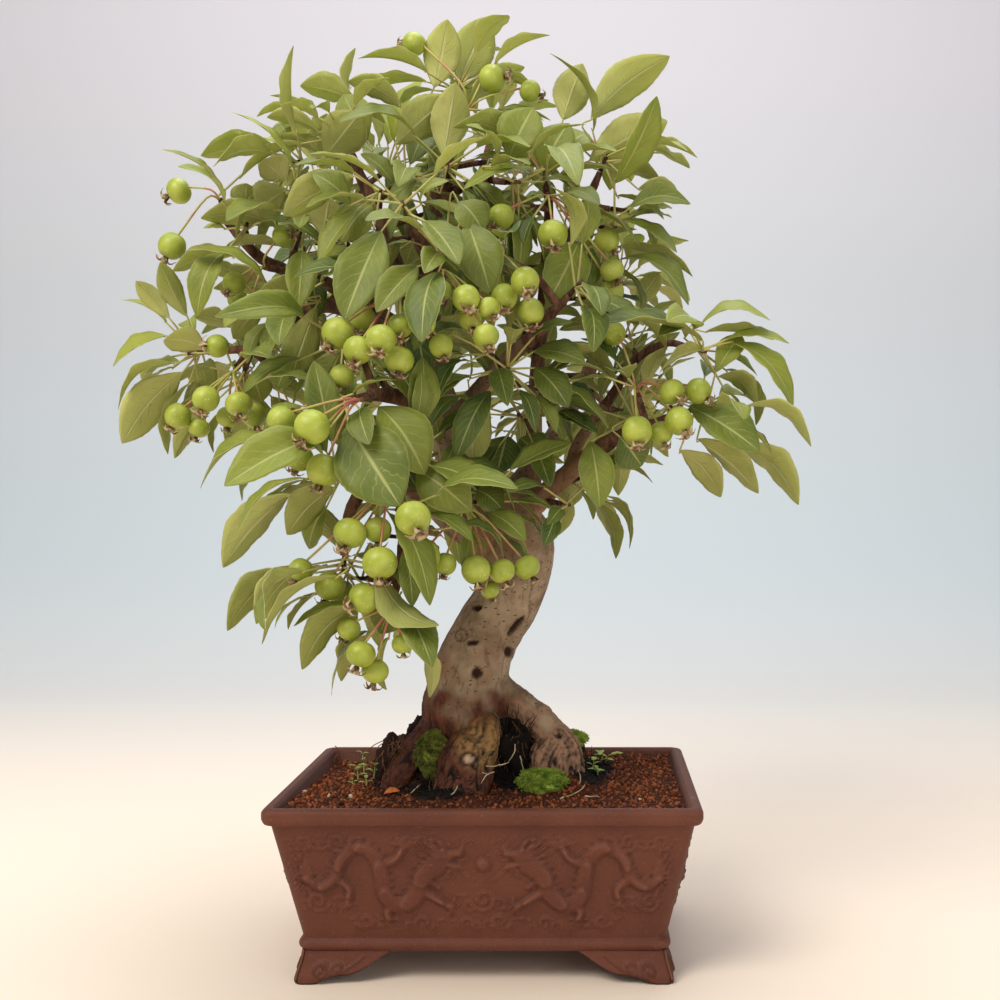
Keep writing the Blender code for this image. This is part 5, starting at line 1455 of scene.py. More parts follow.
tones = random.Random(SEED + 1)
leaf_count = 0
for name, placed in (*leaves.items(), ("bunches", bunch_leaves), ("inner", inner_leaves)):
    lengths = [(leaf[2] - leaf[1]).length for leaf in placed]
    blades_mesh = planted(
        leaf_shelf,
        [leaf[1] for leaf in placed],
        [turn_of(*leaf[1:4]) for leaf in placed],
        [(length, leaf[4] * SLIMMER, length) for leaf, length in zip(placed, lengths)],
        [leaf[5] * 2 + tones.randrange(2) for leaf in placed],
        [shade_tone_of(leaf, name) for leaf in placed],
        leaf_upper, leaf_under, "under",
    )
    stalks = stems([stalk_run(leaf) for leaf in placed], 6, stalk_green)
    twigs = [leafy[name]] if name in leafy else inner.values() if name == "inner" else []
    shoots = mesh_from(*merged(*(shoot_shell(twig, SHOOT_LENGTH, SHOOT_RADII) for twig in twigs)), bark)
    give(shoots, "young", np.ones(len(shoots.vertices)))
    nodes = ["spray_" + name] if name in leafy else []
    finish_piece("leaves_" + name, join_meshes(blades_mesh, stalks, shoots), "leaves", *nodes)
    leaf_count += len(placed)
print(leaf_count, "leaves in", len(leaves), "sprays")

# %% [markdown]
# ## Apples
# Each apple is a little broader than tall, with a hollow where the stalk enters. The flower's five sepals stay
# on at the other end as a dry, curled crown round a tuft of dead stamens.

# %% Apple shapes
APPLE_AROUND = 24
APPLE_RINGS = 15
SEPALS = 5
STALK_SLIMMER = 0.8
STAMENS = 7


def apple_point(t, turn, tall, lump):
    """A point on an apple of radius 1: t runs from the stalk's hollow to the calyx."""
    r = sin(pi * t)
    z = cos(pi * t) * tall
    z -= 0.17 * exp(-((r / 0.24) ** 2)) if t < 0.5 else -0.10 * exp(-((r / 0.3) ** 2))
    rib = 1 + 0.018 * cos(5 * turn + lump) * t + 0.02 * sin(2 * turn + lump)
    return Vector((r * cos(turn) * rib, r * sin(turn) * rib, z))


def flat_strip(points, widths, thickness, across):
    """A closed thin strip along points, for a sepal."""
    verts = []
    for p, width in zip(points, widths):
        for side, lift in ((-1, -1), (1, -1), (1, 1), (-1, 1)):
            verts.append(p + across * side * width + Vector((0, 0, lift * thickness)))
    last = len(verts) - 4
    return verts, ring_faces(4, len(points)) + [(3, 2, 1, 0), (last, last + 1, last + 2, last + 3)]


def pole_fans(count, last, pole):
    """The triangles from a first and a last ring to the two poles."""
    pairs = [(j, (j + 1) % count) for j in range(count)]
    return [(a, b, pole) for a, b in pairs] + [(last + b, last + a, pole + 1) for a, b in pairs]


def fine_apple(shape):
    """One apple with its crown; the crown's faces are marked dry."""
    luck = random.Random(shape)
    tall, lump = 0.9 + 0.05 * shape, luck.uniform(0, 6)
    verts = [apple_point(k / APPLE_RINGS, 2 * pi * j / APPLE_AROUND, tall, lump)
             for k in range(1, APPLE_RINGS) for j in range(APPLE_AROUND)]
    verts += [apple_point(0, 0, tall, lump), apple_point(1, 0, tall, lump)]
    last = (APPLE_RINGS - 2) * APPLE_AROUND
    faces = ring_faces(APPLE_AROUND, APPLE_RINGS - 1) + pole_fans(APPLE_AROUND, last, len(verts) - 2)
    skin_faces = len(faces)
    crown = []
    for k in range(SEPALS):
        turn = 2 * pi * (k + luck.uniform(-0.2, 0.2)) / SEPALS
        out = Vector((cos(turn), sin(turn), 0))
        spread, curl = luck.uniform(0.75, 1.15), luck.uniform(0.1, 0.3)
        points = [out * (0.08 + spread * s**1.3 * 0.7) + Vector((0, 0, -0.86 - 0.6 * sin(s * 2.5) + curl * s))
                  for s in (0, 0.25, 0.5, 0.75, 1)]
        crown.append(flat_strip(points, (0.15, 0.21, 0.18, 0.1, 0.02), 0.03, out.cross(UP)))
    for k in range(STAMENS):
        turn, lean = 2 * pi * k / STAMENS, luck.uniform(0.02, 0.16)
        foot = Vector((cos(turn) * 0.07, sin(turn) * 0.07, -0.84))
        tip = foot + Vector((cos(turn) * lean, sin(turn) * lean, -luck.uniform(0.28, 0.45)))
        crown.append(tube([(*foot, 0.032), (*tip, 0.016)], 4))
    verts, faces = merged((verts, faces), *crown)
    return mesh_from(verts, faces, marks=("dry", [k >= skin_faces for k in range(len(faces))]))


apple_shelf = shape_collection("apple", [facing_out(fine_apple(shape)) for shape in range(3)])

# %% Hang the apples
for name, hung in fruit.items():
    spins = [Quaternion(UP, tones.uniform(0, 6.28)) for _ in hung]
    bodies = planted(
        apple_shelf,
        [centre for _, centre, _, _ in hung],
        [(axis.to_track_quat("Z", "Y") @ spin).to_euler() for (_, _, axis, _), spin in zip(hung, spins)],
        [(radius, radius, radius) for _, _, _, radius in hung],
        [tones.randrange(3) for _ in hung],
        [tones.random() for _ in hung],
        apple_skin, calyx_dry, "dry",
    )
    runs = [[(*p[:3], p[3] * STALK_SLIMMER) for p in smooth_run(run, 4)] for run, _, _, _ in hung]
    stalks = stems(runs, 8, pedicel_warm)
    knob = mesh_from(*shoot_shell(fruiting[name], KNOB_LENGTH, KNOB_RADII), bark)
    give(knob, "young", np.ones(len(knob.vertices)))
    finish_piece("fruit_" + name, join_meshes(bodies, stalks, knob), "apples", "apples_" + name)
print(sum(map(len, fruit.values())), "apples in", len(fruit), "bunches")

# %% [markdown]
# ## Pot
# An unglazed clay pot, pressed in a mould: a rolled rim, walls that lean out, a band at the foot and four
# bracket feet. Two dragons face a pearl among clouds in low relief. The relief is drawn as strokes, in
# millimetres across and up the wall, each with a width and a height. Every point of the wall rises by the
# highest stroke above it, so that strokes run into each other softly, as they do in pressed clay.

# %% Draw the relief
BODY_HALF = 5.4
TAIL_HALF = 2.2
BODY_RISE = 1.75
SCALE_LONG = 3.2
SCALE_WIDE = 1.9
RELIEF_RISE = 1.1


def spiral(x, z, radius, turns, start, way):
    """Points of a spiral that winds in to its middle."""
    count = round(turns * 14)
    rows = []
    for share in (k / count for k in range(count + 1)):
        turn, reach = radians(start) + way * share * turns * 2 * pi, radius * (1 - 0.82 * share)
        rows.append((x + reach * cos(turn), z + reach * sin(turn)))
    return rows


def wisp(x, z, heading, length, curl):
    """A short line that starts along a heading, in degrees, and curls as it goes."""
    rows, turn = [(x, z)], radians(heading)
    for _ in range(6):
        x, z, turn = x + length / 6 * cos(turn), z + length / 6 * sin(turn), turn + radians(curl) / 6
        rows.append((x, z))
    return rows


def curve_through(points, steps=6):
    return [(x, z) for x, _, z, _ in smooth_run([(x, 0, z, 1) for x, z in points], steps)]


# A stroke is its points, half its width at its start and at its end, its height, and True where it has scales
def claw(x, z, heading):
    """Four hooked talons."""
    return [
        (wisp(x, z, heading + spread, 6, curl), 0.95, 0.35, 1.0)
        for spread, curl in ((-60, -70), (-20, -70), (20, 70), (60, 70))
    ]


def cloud(x, z, size, way):
    """A curl of cloud with two small curls beside it and two trailing ends."""
    curls = [
        (0, 0, 4.4, 1.5, 90 + 110 * way, way, 1.0, 0.6, 0.9),
        (5.4, -1.8, 2.6, 1.2, 90 + 70 * way, -way, 0.85, 0.5, 0.8),
        (-4.6, -2.6, 2.3, 1.1, 90, way, 0.8, 0.5, 0.8),
    ]
    ends = [(7, -3, 90 - 90 * way, 9, 35, 0.9, 0.3, 0.75), (-6, 1.5, 90 + 90 * way, 6, -30, 0.8, 0.3, 0.7)]
    return [
        (spiral(x + way * aside * size, z + up * size, radius * size, turns, start, turning), *form)
        for aside, up, radius, turns, start, turning, *form in curls
    ] + [
        (wisp(x + way * aside * size, z + up * size, heading, length * size, curl * way), *form)
        for aside, up, heading, length, curl, *form in ends
    ]


def dragon():
    """The dragon of the right half, which faces left towards the pearl."""
    body = curve_through([
        (23, 63), (30, 57), (34, 47), (42, 41), (49, 46), (51, 57), (55, 68), (63, 72), (71, 66), (75, 56),
        (82, 51), (89, 56),
    ])
    strokes = [(body, BODY_HALF, TAIL_HALF, BODY_RISE, True)]
    for k in range(3, len(body) - 3, 2):
        (x0, z0), (x1, z1) = body[k - 1], body[k + 1]
        turn = atan2(z1 - z0, x1 - x0) + pi / 2
        reach = (BODY_HALF + (TAIL_HALF - BODY_HALF) * k / len(body)) * 0.85
        x, z = body[k][0] + reach * cos(turn), body[k][1] + reach * sin(turn)
        strokes.append((wisp(x, z, degrees(turn), 2.6, -40), 0.85, 0.25, 1.1))
    head = [([(22, 67), (18, 67.5)], 4.3, 3.4, 1.9), ([(17, 68.5), (11.5, 69)], 2.6, 1.7, 1.8)]
    jaw_and_eye = [([(18, 63.5), (12.5, 61.6)], 1.9, 1.0, 1.5), ([(19.5, 70.6), (19.6, 70.7)], 1.5, 1.5, 2.3)]
    horns_and_whiskers = [
        (wisp(*rest), *form) for rest, form in (
            ((12, 70, 120, 3, 60), (1.3, 0.7, 1.6)), ((22, 71, 40, 9, -50), (1.2, 0.4, 1.5)),
            ((20, 72, 62, 8, -60), (1.1, 0.4, 1.4)), ((12, 66, 200, 7, -120), (0.55, 0.3, 1.0)),
            ((14, 71, 130, 8, -140), (0.55, 0.3, 1.0)), ((15, 61, 250, 6, 80), (0.9, 0.3, 1.0)),
            ((17, 60.5, 270, 7, 80), (0.9, 0.3, 1.0)), ((11, 72, 100, 12, 190), (0.7, 0.35, 1.0)),
            ((12, 63, 250, 13, -60), (0.65, 0.35, 0.9)),
        )
    ]
    strokes += head + jaw_and_eye + horns_and_whiskers
    for k in range(11):
        strokes.append((wisp(24 + 0.3 * k, 71 - 1.5 * k, 60 - 17 * k, 9.5, 50 - 12 * k), 0.95, 0.35, 1.25))
        strokes.append((wisp(86, 58, 62 - 13 * k, 15 - 0.4 * abs(k - 5), 34 - 7 * k), 0.95, 0.35, 1.1))
    for leg, heading in (
        ([(33, 50), (25, 45), (17, 40)], 200), ([(45, 43), (49, 37), (48, 34)], 270),
        ([(75, 56), (68, 50), (69, 42)], 260), ([(52, 62), (44, 66), (40, 72)], 110),
    ):
        strokes += [(curve_through(leg), 2.5, 1.5, 1.5, True), *claw(*leg[-1], heading)]
    for place in (
        (73, 75, 1.2, 1), (90, 75, 1.0, -1), (84, 43, 1.3, 1), (60, 32, 0.9, -1), (31, 31, 1.2, 1),
        (38, 76, 0.7, 1),
    ):
        strokes += cloud(*place)
    return strokes


PEARL = [([(0, 63), (0.1, 63)], 3.8, 3.8, 2.4)]
PANEL = [
    *dragon(), *(([(-x, z) for x, z in rows], *form) for rows, *form in dragon()), *PEARL,
    *cloud(0, 44, 1.5, 1), *cloud(8, 32, 1.1, -1), *cloud(-9, 31, 1.0, 1),
]


def stroke_rise(strokes, across, up):
    """How far a wall rises, in millimetres, at points across and up it."""
    rise = np.zeros(len(across))
    for rows, start, end, height, *scaly in strokes:
        done, step = 0, (end - start) / (len(rows) - 1)
        for k, ((x0, z0), (x1, z1)) in enumerate(zip(rows, rows[1:])):
            long, reach = hypot(x1 - x0, z1 - z0), start + step * k
            aside_x, aside_z = np.abs(across - (x0 + x1) / 2), np.abs(up - (z0 + z1) / 2)
            near = np.flatnonzero((aside_x < long / 2 + reach) & (aside_z < long / 2 + reach))
            if long == 0 or not len(near):
                continue
            dx, dz = across[near] - x0, up[near] - z0
            t = np.clip((dx * (x1 - x0) + dz * (z1 - z0)) / long**2, 0, 1)
            aside = np.hypot(dx - t * (x1 - x0), dz - t * (z1 - z0))
            bulge = np.sqrt(np.clip(1 - (aside / (reach + step * t)) ** 2, 0, 1))
            if scaly:
                row = np.floor(aside / SCALE_WIDE)
                bulge *= 0.78 + 0.22 * ((done + t * long) / SCALE_LONG + row / 2) % 1
            rise[near] = np.maximum(rise[near], RELIEF_RISE * height * bulge)
            done += long
    return rise


# %% Shape the pot
POT_COLUMN = 1.15
POT_ROW = 1.1
WALL_STEPS = (round(200 / POT_COLUMN), round(146 / POT_COLUMN))
CORNER_STEPS = 8
EDGE_ROUND = 1.1
RELIEF_LOW = 26.5
RELIEF_HIGH = 82
SIDE_SCALE = 0.7


def between(a, b, share):
    return tuple(p + (q - p) * share for p, q in zip(a, b))


def guarded(rows):
    """The profile with extra rows close to each bend, so that cutting the corners rounds them only a little."""
    out = [rows[0]]
    for a, b in zip(rows, rows[1:]):
        share = EDGE_ROUND / dist(a, b)
        out += ([between(a, b, share), between(a, b, 1 - share)] if share < 1 / 3 else []) + [b]
    return out


def corners_cut(rows):
    out = [between(a, b, share) for a, b in zip(rows, rows[1:]) for share in (0.25, 0.75)]
    return [rows[0], *out, rows[-1]]


def stepped(rows):
    """The profile with its long stretches divided."""
    out = [rows[0]]
    for a, b in zip(rows, rows[1:]):
        carved = RELIEF_LOW < (a[0] + b[0]) / 2 < RELIEF_HIGH and a[3] > 5
        steps = max(1, round(dist(a, b) / POT_ROW)) if carved else 1
        out += [between(a, b, k / steps) for k in range(1, steps + 1)]
    return out


def wall_ring(half_x, half_y, corner):
    """Points of a rounded rectangle at even steps, with the side each belongs to and its place along it."""
    ring = []
    for number in range(4):
        half, reach, count = (half_x, half_y, WALL_STEPS[0]) if number % 2 else (half_y, half_x, WALL_STEPS[1])
        c, s = cos(radians(90 * number)), sin(radians(90 * number))
        for k in range(count):
            along = (half - corner) * (2 * k / count - 1)
            ring.append((reach * c - along * s, reach * s + along * c, number, along))
        for k in range(CORNER_STEPS):
            bend = radians(90 * k / CORNER_STEPS)
            x, y = reach - corner + corner * cos(bend), half - corner + corner * sin(bend)
            ring.append((x * c - y * s, x * s + y * c, number, None))
    return ring


def pot_wall_shell():
    outside = corners_cut(corners_cut(guarded([(*row, POT_CORNER) for row in POT_WALL_OUTSIDE])))
    rows = stepped(outside) + corners_cut(guarded([(*row, POT_CORNER - 2.5) for row in POT_WALL_INSIDE]))
    rings = [wall_ring(*row[1:]) for row in rows]
    places = np.array([[(x, y, row[0]) for x, y, _, _ in ring] for row, ring in zip(rows, rings)], dtype=float)
    carved = np.array([row[3] == POT_CORNER and RELIEF_LOW < row[0] < RELIEF_HIGH for row in rows])
    for number, (out_x, out_y) in enumerate(((1, 0), (0, 1), (-1, 0), (0, -1))):
        columns = [j for j, point in enumerate(rings[0]) if point[2] == number and point[3] is not None]
        part = places[np.ix_(carved, columns)]
        across, up = (part[..., 0] * -out_y + part[..., 1] * out_x).ravel(), part[..., 2].ravel()
        if out_x:
            across, up = across / SIDE_SCALE, (up - 54) / 0.9 + 54
        rise = stroke_rise(PANEL, across, up).reshape(part.shape[:2])
        rise *= smoothstep(0, 3, part[..., 2] - RELIEF_LOW) * smoothstep(0, 2.5, RELIEF_HIGH - part[..., 2])
        part[..., :2] += rise[..., None] * (out_x, out_y)
        places[np.ix_(carved, columns)] = part
    count = len(rings[0])
    caps = [tuple(reversed(range(count))), tuple(range((len(rows) - 1) * count, len(rows) * count))]
    return [Vector(p) * MM for p in places.reshape(-1, 3)], caps + ring_faces(count, len(rows))


FOOT_EDGE = [
    (0, 1.4), (1.2, 0.4), (2.5, 0), (9, 0), (12, 0.8), (16, 2.7), (20.5, 4.1), (24, 4.6), (28, 4.9),
    (31.5, 6.1), (35.6, 8.8), (40.2, 12.4), (43.2, 14.6), (45.5, 16),
]
FOOT_LONG = 45.5
FOOT_TOP = 16.9
FOOT_STEPS = 16
FOOT_HALF = (93.4, 66)
FOOT_CURLS = [
    (spiral(11.5, 6.8, 4.4, 1.2, -60, 1), 1.5, 1.1, 1.3), (spiral(20.5, 7.6, 3.4, 1.1, 240, -1), 1.4, 1.0, 1.2),
    (wisp(14, 3.6, 10, 22, 45), 0.9, 0.5, 0.8),
]


def foot_flare(height):
    """How far the foot's face stands out at a height."""
    for (high, out_high), (low, out_low) in zip(FOOT_LEVELS, FOOT_LEVELS[1:]):
        if height >= low:
            return out_low + (out_high - out_low) * min((height - low) / (high - low), 1)
    return FOOT_LEVELS[-1][1]


def fine_foot(sx, sy):
    """One bracket foot: two arms from a cut corner, each with a curling lower edge and a curl in relief."""
    stations = [FOOT_LONG * k / 60 for k in range(60, -1, -1)]
    path = [(-1, a) for a in stations] + [(1, a) for a in reversed(stations)]
    verts = []
    for arm, a in path:
        low = float(np.interp(a, *zip(*FOOT_EDGE)))
        heights = np.array([FOOT_TOP + (low - FOOT_TOP) * k / FOOT_STEPS for k in range(FOOT_STEPS + 1)])
        rise = stroke_rise(FOOT_CURLS, np.full(len(heights), float(a)), heights)
        rise *= smoothstep(0, 1.5, heights - low)
        for face in (0, 1):
            for height, lift in zip(heights, rise):
                reach = [half + foot_flare(height) for half in FOOT_HALF]
                long, wide = reach if arm == 1 else reversed(reach)
                out = -FOOT_WALL if face else lift
                x, y = (long - a, wide + out - max(0, FOOT_CORNER_CUT - a) * 0.5)[::arm]
                if face:
                    x, y = min(x, reach[0] - FOOT_WALL), min(y, reach[1] - FOOT_WALL)
                verts.append(Vector((sx * x, sy * y, height)) * MM)
    across = 2 * (FOOT_STEPS + 1)
    loop = list(range(FOOT_STEPS + 1)) + list(range(across - 1, FOOT_STEPS, -1))
    faces = [
        tuple(k * across + i for i in (a, b, b + across, a + across))
        for k in range(len(path) - 1) for a, b in zip(loop, loop[1:] + loop[:1])
    ]
    last = (len(path) - 1) * across
    mesh = mesh_from(verts, [*faces, tuple(reversed(loop)), tuple(last + i for i in loop)])
    return facing_out(mesh, weld=0.01 * MM)


def cut_with(mesh, others, operation):
    """The mesh joined with, or cut by, all the others at once."""
    holder = held(mesh)
    shelf = bpy.data.collections.new("others")
    bpy.context.scene.collection.children.link(shelf)
    for other in others:
        shelf.objects.link(bpy.data.objects.new("other", facing_out(other)))
    step = holder.modifiers.new("step", "BOOLEAN")
    step.operation, step.solver, step.operand_type, step.collection = operation, "MANIFOLD", "COLLECTION", shelf
    made = applied(holder)
    for other in list(shelf.objects):
        bpy.data.objects.remove(other)
    bpy.data.collections.remove(shelf)
    return made


wall = facing_out(mesh_from(*pot_wall_shell()))
whole = cut_with(wall, [fine_foot(sx, sy) for sx in (-1, 1) for sy in (-1, 1)], "UNION")
drains = [
    tube([(side * DRAIN_ACROSS * MM, 0, z * MM, DRAIN_RADIUS * MM) for z in (10, 30)], 40) for side in (-1, 1)
]
whole = cut_with(whole, [mesh_from(*drain) for drain in drains], "DIFFERENCE")
whole.materials.clear()
whole.materials.append(clay)
finish_piece("relief_pot", whole, "clay", "pot")
print("pot:", len(whole.polygons), "faces")

# %% [markdown]
# ## Soil and moss
# Red clay soil in crumbs of one to three millimetres, heaped against the roots, with black peat in the hollow
# between the front root and the ridge. Moss grows in three cushions.

# %% Lay the soil
SOIL_AROUND = 200
SOIL_SHARES = 56
CRUMBS = 8600
HEAPS = [((452, 800, -52), (22, 11), 7), ((578, 790, -24), (17, 13), 9), ((520, 796, -34), (22, 10), 3.5)]
PEAT_PLACES = [((512, 748), (30, 46)), ((440, 789), (36, 11)), ((392, 772), (20, 26)), ((594, 770), (18, 14))]


def soil_edge():
    """The soil's outline inside the wall, as points at even turns."""
    ring = wall_ring(*SOIL_HALF, POT_CORNER - 2.5)
    return [ring[round(k * len(ring) / SOIL_AROUND) % len(ring)][:2] for k in range(SOIL_AROUND)]


def soil_half(height):
    rows = sorted(POT_WALL_INSIDE)
    low, high = [row for row in rows if row[0] <= height][-1], [row for row in rows if row[0] > height][0]
    share = (height - low[0]) / (high[0] - low[0])
    return tuple(low[i] + (high[i] - low[i]) * share - 0.5 for i in (1, 2))


def peat_at(x, y, z):
    """1 where the soil is black peat."""
    across, down = on_sheet(Vector((x, y, z)))
    wobble = 0.35 * noise.noise(Vector((x, y, z)) * 130)
    value = 0.0
    for (place_across, place_down), (half_across, half_down) in PEAT_PLACES:
        away = hypot((across - place_across) / half_across, (down - place_down) / half_down) + wobble
        value = max(value, min(max((1.15 - away) / 0.3, 0), 1))
    return value


def soil_top(x_mm, y_mm):
    """Height of the crumbly surface in metres."""
    spot = Vector((x_mm, y_mm, 0))
    heap = 0.0
    for place, (half_x, half_y), rise in HEAPS:
        middle = seen(*place) / MM
        heap += rise * exp(-(((x_mm - middle.x) / half_x) ** 2) - ((y_mm - middle.y) / half_y) ** 2) * MM
    rough = 0.9 * noise.noise(spot * 0.11) + 0.55 * noise.noise(spot * 0.4)
    return soil_height(x_mm, y_mm) + heap + rough * MM


SOIL_HALF = soil_half(SOIL_EDGE)
floor_half, foot_half = soil_half(POT_FLOOR + 0.5), soil_half(80)
edge = soil_edge()
verts = []
for height, half in ((POT_FLOOR + 0.5, floor_half), (80, foot_half)):
    verts += [Vector((x * half[0] / SOIL_HALF[0], y * half[1] / SOIL_HALF[1], height)) * MM for x, y in edge]
for k in range(SOIL_SHARES):
    share = 1 - k / SOIL_SHARES
    verts += [Vector((x * share * MM, y * share * MM, soil_top(x * share, y * share))) for x, y in edge]
verts.append(Vector((0, 0, soil_top(0, 0))))
faces = [tuple(reversed(range(SOIL_AROUND))), *ring_faces(SOIL_AROUND, SOIL_SHARES + 2)]
last = (SOIL_SHARES + 1) * SOIL_AROUND
faces += [(last + j, last + (j + 1) % SOIL_AROUND, len(verts) - 1) for j in range(SOIL_AROUND)]
bed = facing_out(mesh_from(verts, faces, soil_bed))
give(bed, "peat", [peat_at(*v.co) for v in bed.vertices])


def rough_ball(luck, rounds, lump):
    """A lumpy ball of radius 1, for crumbs and pebbles."""
    ball = bmesh.new()
    bmesh.ops.create_icosphere(ball, subdivisions=rounds, radius=1)
    shift = anywhere(luck, (0, 9), (0, 9), (0, 9))
    for v in ball.verts:
        v.co *= 1 + lump * noise.noise(v.co * 1.7 + shift)
    mesh = bpy.data.meshes.new("ball")
    ball.to_mesh(mesh)
    ball.free()
    return mesh


luck = random.Random(SEED + 2)
crumb_shelf = shape_collection("crumb", [rough_ball(luck, 1, 0.9) for _ in range(5)])


def scattered(count, luck, half_x, half_y):
    return [(luck.uniform(-half_x, half_x), luck.uniform(-half_y, half_y)) for _ in range(count)]


spots = scattered(CRUMBS, luck, SOIL_HALF[0] - 1.2, SOIL_HALF[1] - 1.2)
places, turns, sizes = [], [], []
for x, y in spots:
    size = (0.42 + 0.95 * luck.random() ** 2.6) * MM
    places.append(Vector((x * MM, y * MM, soil_top(x, y) + size * luck.uniform(0, 0.7))))
    turns.append([luck.uniform(0, 6.28) for _ in range(3)])
    sizes.append([size * luck.uniform(0.75, 1.25) for _ in range(3)])
crumbs = planted(
    crumb_shelf, places, turns, sizes,
    [luck.randrange(5) for _ in places],
    [luck.random() ** 1.5 for _ in places],
    soil_grains, peat=[peat_at(*p) for p in places],
)
finish_piece("soil_crumbs", join_meshes(bed, crumbs), "soil", "soil", smooth=False)
print("soil:", CRUMBS, "crumbs")

# %% Grow the moss
TUFTS = 850
TUFT_BLADES = 5
CUSHION_LEVELS = 22
CUSHION_SIDES = 40


def fine_cushion(place, half):
    centre, verts, levels, sides = seen(*place), [], CUSHION_LEVELS, CUSHION_SIDES
    for k in range(1, levels):
        tilt = pi * k / levels
        for j in range(sides):
            turn = 2 * pi * j / sides
            out = Vector((sin(tilt) * cos(turn), sin(tilt) * sin(turn), cos(tilt)))
            lump = 0.94 + 0.2 * noise.noise(out * 2.3 + centre * 90) + 0.06 * noise.noise(out * 7)
            verts.append(centre + Vector(out[i] * half[i] * MM * lump for i in range(3)))
    verts += [centre + Vector((0, 0, half[2] * MM * 0.94)), centre - Vector((0, 0, half[2] * MM * 0.94))]
    return verts, ring_faces(sides, levels - 1) + pole_fans(sides, (levels - 2) * sides, len(verts) - 2)


def tuft(luck):
    """A few short pointed moss leaves that spread from one spot."""
    shells = []
    for k in range(TUFT_BLADES):
        turn, lean = 2 * pi * k / TUFT_BLADES + luck.uniform(-0.4, 0.4), luck.uniform(0.25, 0.8)
        tip = Vector((cos(turn) * lean, sin(turn) * lean, luck.uniform(0.7, 1.1)))
        shells.append(tube([(0, 0, -0.1, 0.13), (*(tip * 0.55), 0.12), (*tip, 0.03)], 3))
    return facing_out(mesh_from(*merged(*shells)))


luck = random.Random(SEED + 3)
tuft_shelf = shape_collection("tuft", [tuft(luck) for _ in range(4)])
for name, (place, half) in MOSS.items():
    green = moss_dark if name == "left" else moss_bright
    cushion = facing_out(mesh_from(*fine_cushion(place, half), green))
    upper = [v for v in cushion.vertices if v.normal.z > -0.1]
    picks = [luck.choice(upper) for _ in range(TUFTS)]
    places = [v.co + anywhere(luck, (-0.8, 0.8), (-0.8, 0.8), (-0.5, 0.1)) * MM for v in picks]
    turns = [(v.normal + Vector((0, 0, 0.6))).to_track_quat("Z", "Y").to_euler() for v in picks]
    sizes = [[luck.uniform(1.3, 2.3) * MM] * 3 for _ in picks]
    shapes = [luck.randrange(4) for _ in picks]
    tufts = planted(tuft_shelf, places, turns, sizes, shapes, [luck.random() for _ in picks], green)
    finish_piece("moss_cushion_" + name, join_meshes(cushion, tufts), "moss", "moss_" + name)
print("moss:", len(MOSS), "cushions with", TUFTS, "tufts each")

# %% [markdown]
# ## What lies and grows on the soil
# Black peat fills the hollow between the roots and a fibrous brown root mat lies at the left. A weed, a few
# seedlings, thin grass, rootlets, pale pebbles and a dry orange leaf lie about, each set down on the soil.

# %% Peat and root mat
def on_soil(across, down):
    """Where the line of sight through a point of the front view meets the soil."""
    for step in range(int(-SOIL_HALF[1]), int(SOIL_HALF[1])):
        spot = seen(across, down, step)
        if spot.z <= soil_top(spot.x / MM, spot.y / MM):
            return spot
    return seen(across, down, SOIL_HALF[1] - 4)


def clod(place, half, dark, luck):
    """A rough lump of fibrous stuff, half in the soil."""
    mesh = rough_ball(luck, 5, 0.55)
    centre = seen(*place)
    for v in mesh.vertices:
        out = v.co.normalized()
        crumble = 0.13 * noise.noise(out * 5) + 0.08 * noise.noise(Vector((out.x * 16, out.y * 16, out.z * 5)))
        v.co = centre + Vector((v.co + out * crumble)[i] * half[i] * MM for i in range(3))
    mesh.materials.append(soil_bed)
    give(mesh, "peat", [dark] * len(mesh.vertices))
    return mesh


luck = random.Random(SEED + 4)
clods = [
    clod((511, 752, -12), (11.5, 9, 20), 1.0, luck),
    clod((402, 764, 0), (12, 12, 15), 0.55, luck),
    clod((420, 738, 8), (8, 9, 12), 0.75, luck),
    clod((566, 752, 6), (9, 8, 9), 0.9, luck),
]


def fibre(start, ahead, length, radius, luck):
    """A thin root that wanders as it goes."""
    rows, way = [], Vector(ahead).normalized()
    point = Vector(start)
    for k in range(8):
        rows.append((*point, radius * (1 - 0.6 * k / 7) * MM))
        way = (way + Vector(luck.uniform(-1, 1) for _ in range(3)) * 0.35).normalized()
        point = point + way * length / 7 * MM
    return rows


# Where root fibres grow: the middle of the clump, its half sizes and how many
FIBRES = [
    ((402, 760, -6), (11, 9, 15), 60), ((511, 750, -18), (9, 4, 16), 34), ((452, 776, -44), (10, 4, 8), 14),
]
BLACK_FIBRES = [
    ((511, 750, -20), (13, 4, 24), 130), ((440, 786, -50), (18, 5, 7), 60), ((590, 768, -6), (10, 6, 9), 50),
]
fibres, black_fibres = [], []
for place, half, count in FIBRES:
    for _ in range(count):
        out = anywhere(luck, (-1, 1), (-1, 0), (-0.6, 1)).normalized()
        start = seen(*place) + Vector(out[i] * half[i] * MM for i in range(3))
        along = Vector((luck.uniform(-0.6, 0.6), luck.uniform(-0.3, 0.1), -1))
        long, thick = luck.uniform(6, 13), luck.uniform(0.2, 0.42)
        fibres.append(fibre(start, along, long, thick, luck))
for place, half, count in BLACK_FIBRES:
    for _ in range(count):
        turn = luck.uniform(0, 2 * pi)
        out = Vector((cos(turn), luck.uniform(-0.9, 0), sin(turn)))
        start = seen(*place) + Vector(out[i] * half[i] * luck.uniform(0.5, 0.95) * MM for i in range(3))
        ahead = out + Vector((0, -0.2, 0.4))
        black_fibres.append(fibre(start, ahead, luck.uniform(3, 8), 0.34, luck))
root_fibre = plain_surface("root fibre", "3a2214", "8a6a4c", 0.01, 0.9)
black_peat = plain_surface("black peat fibre", "120c08", "33241a", 0.004, 0.9)
pale_fibre = plain_surface("pale root fibre", "a08a68", "d6c7a4", 0.006, 0.85)
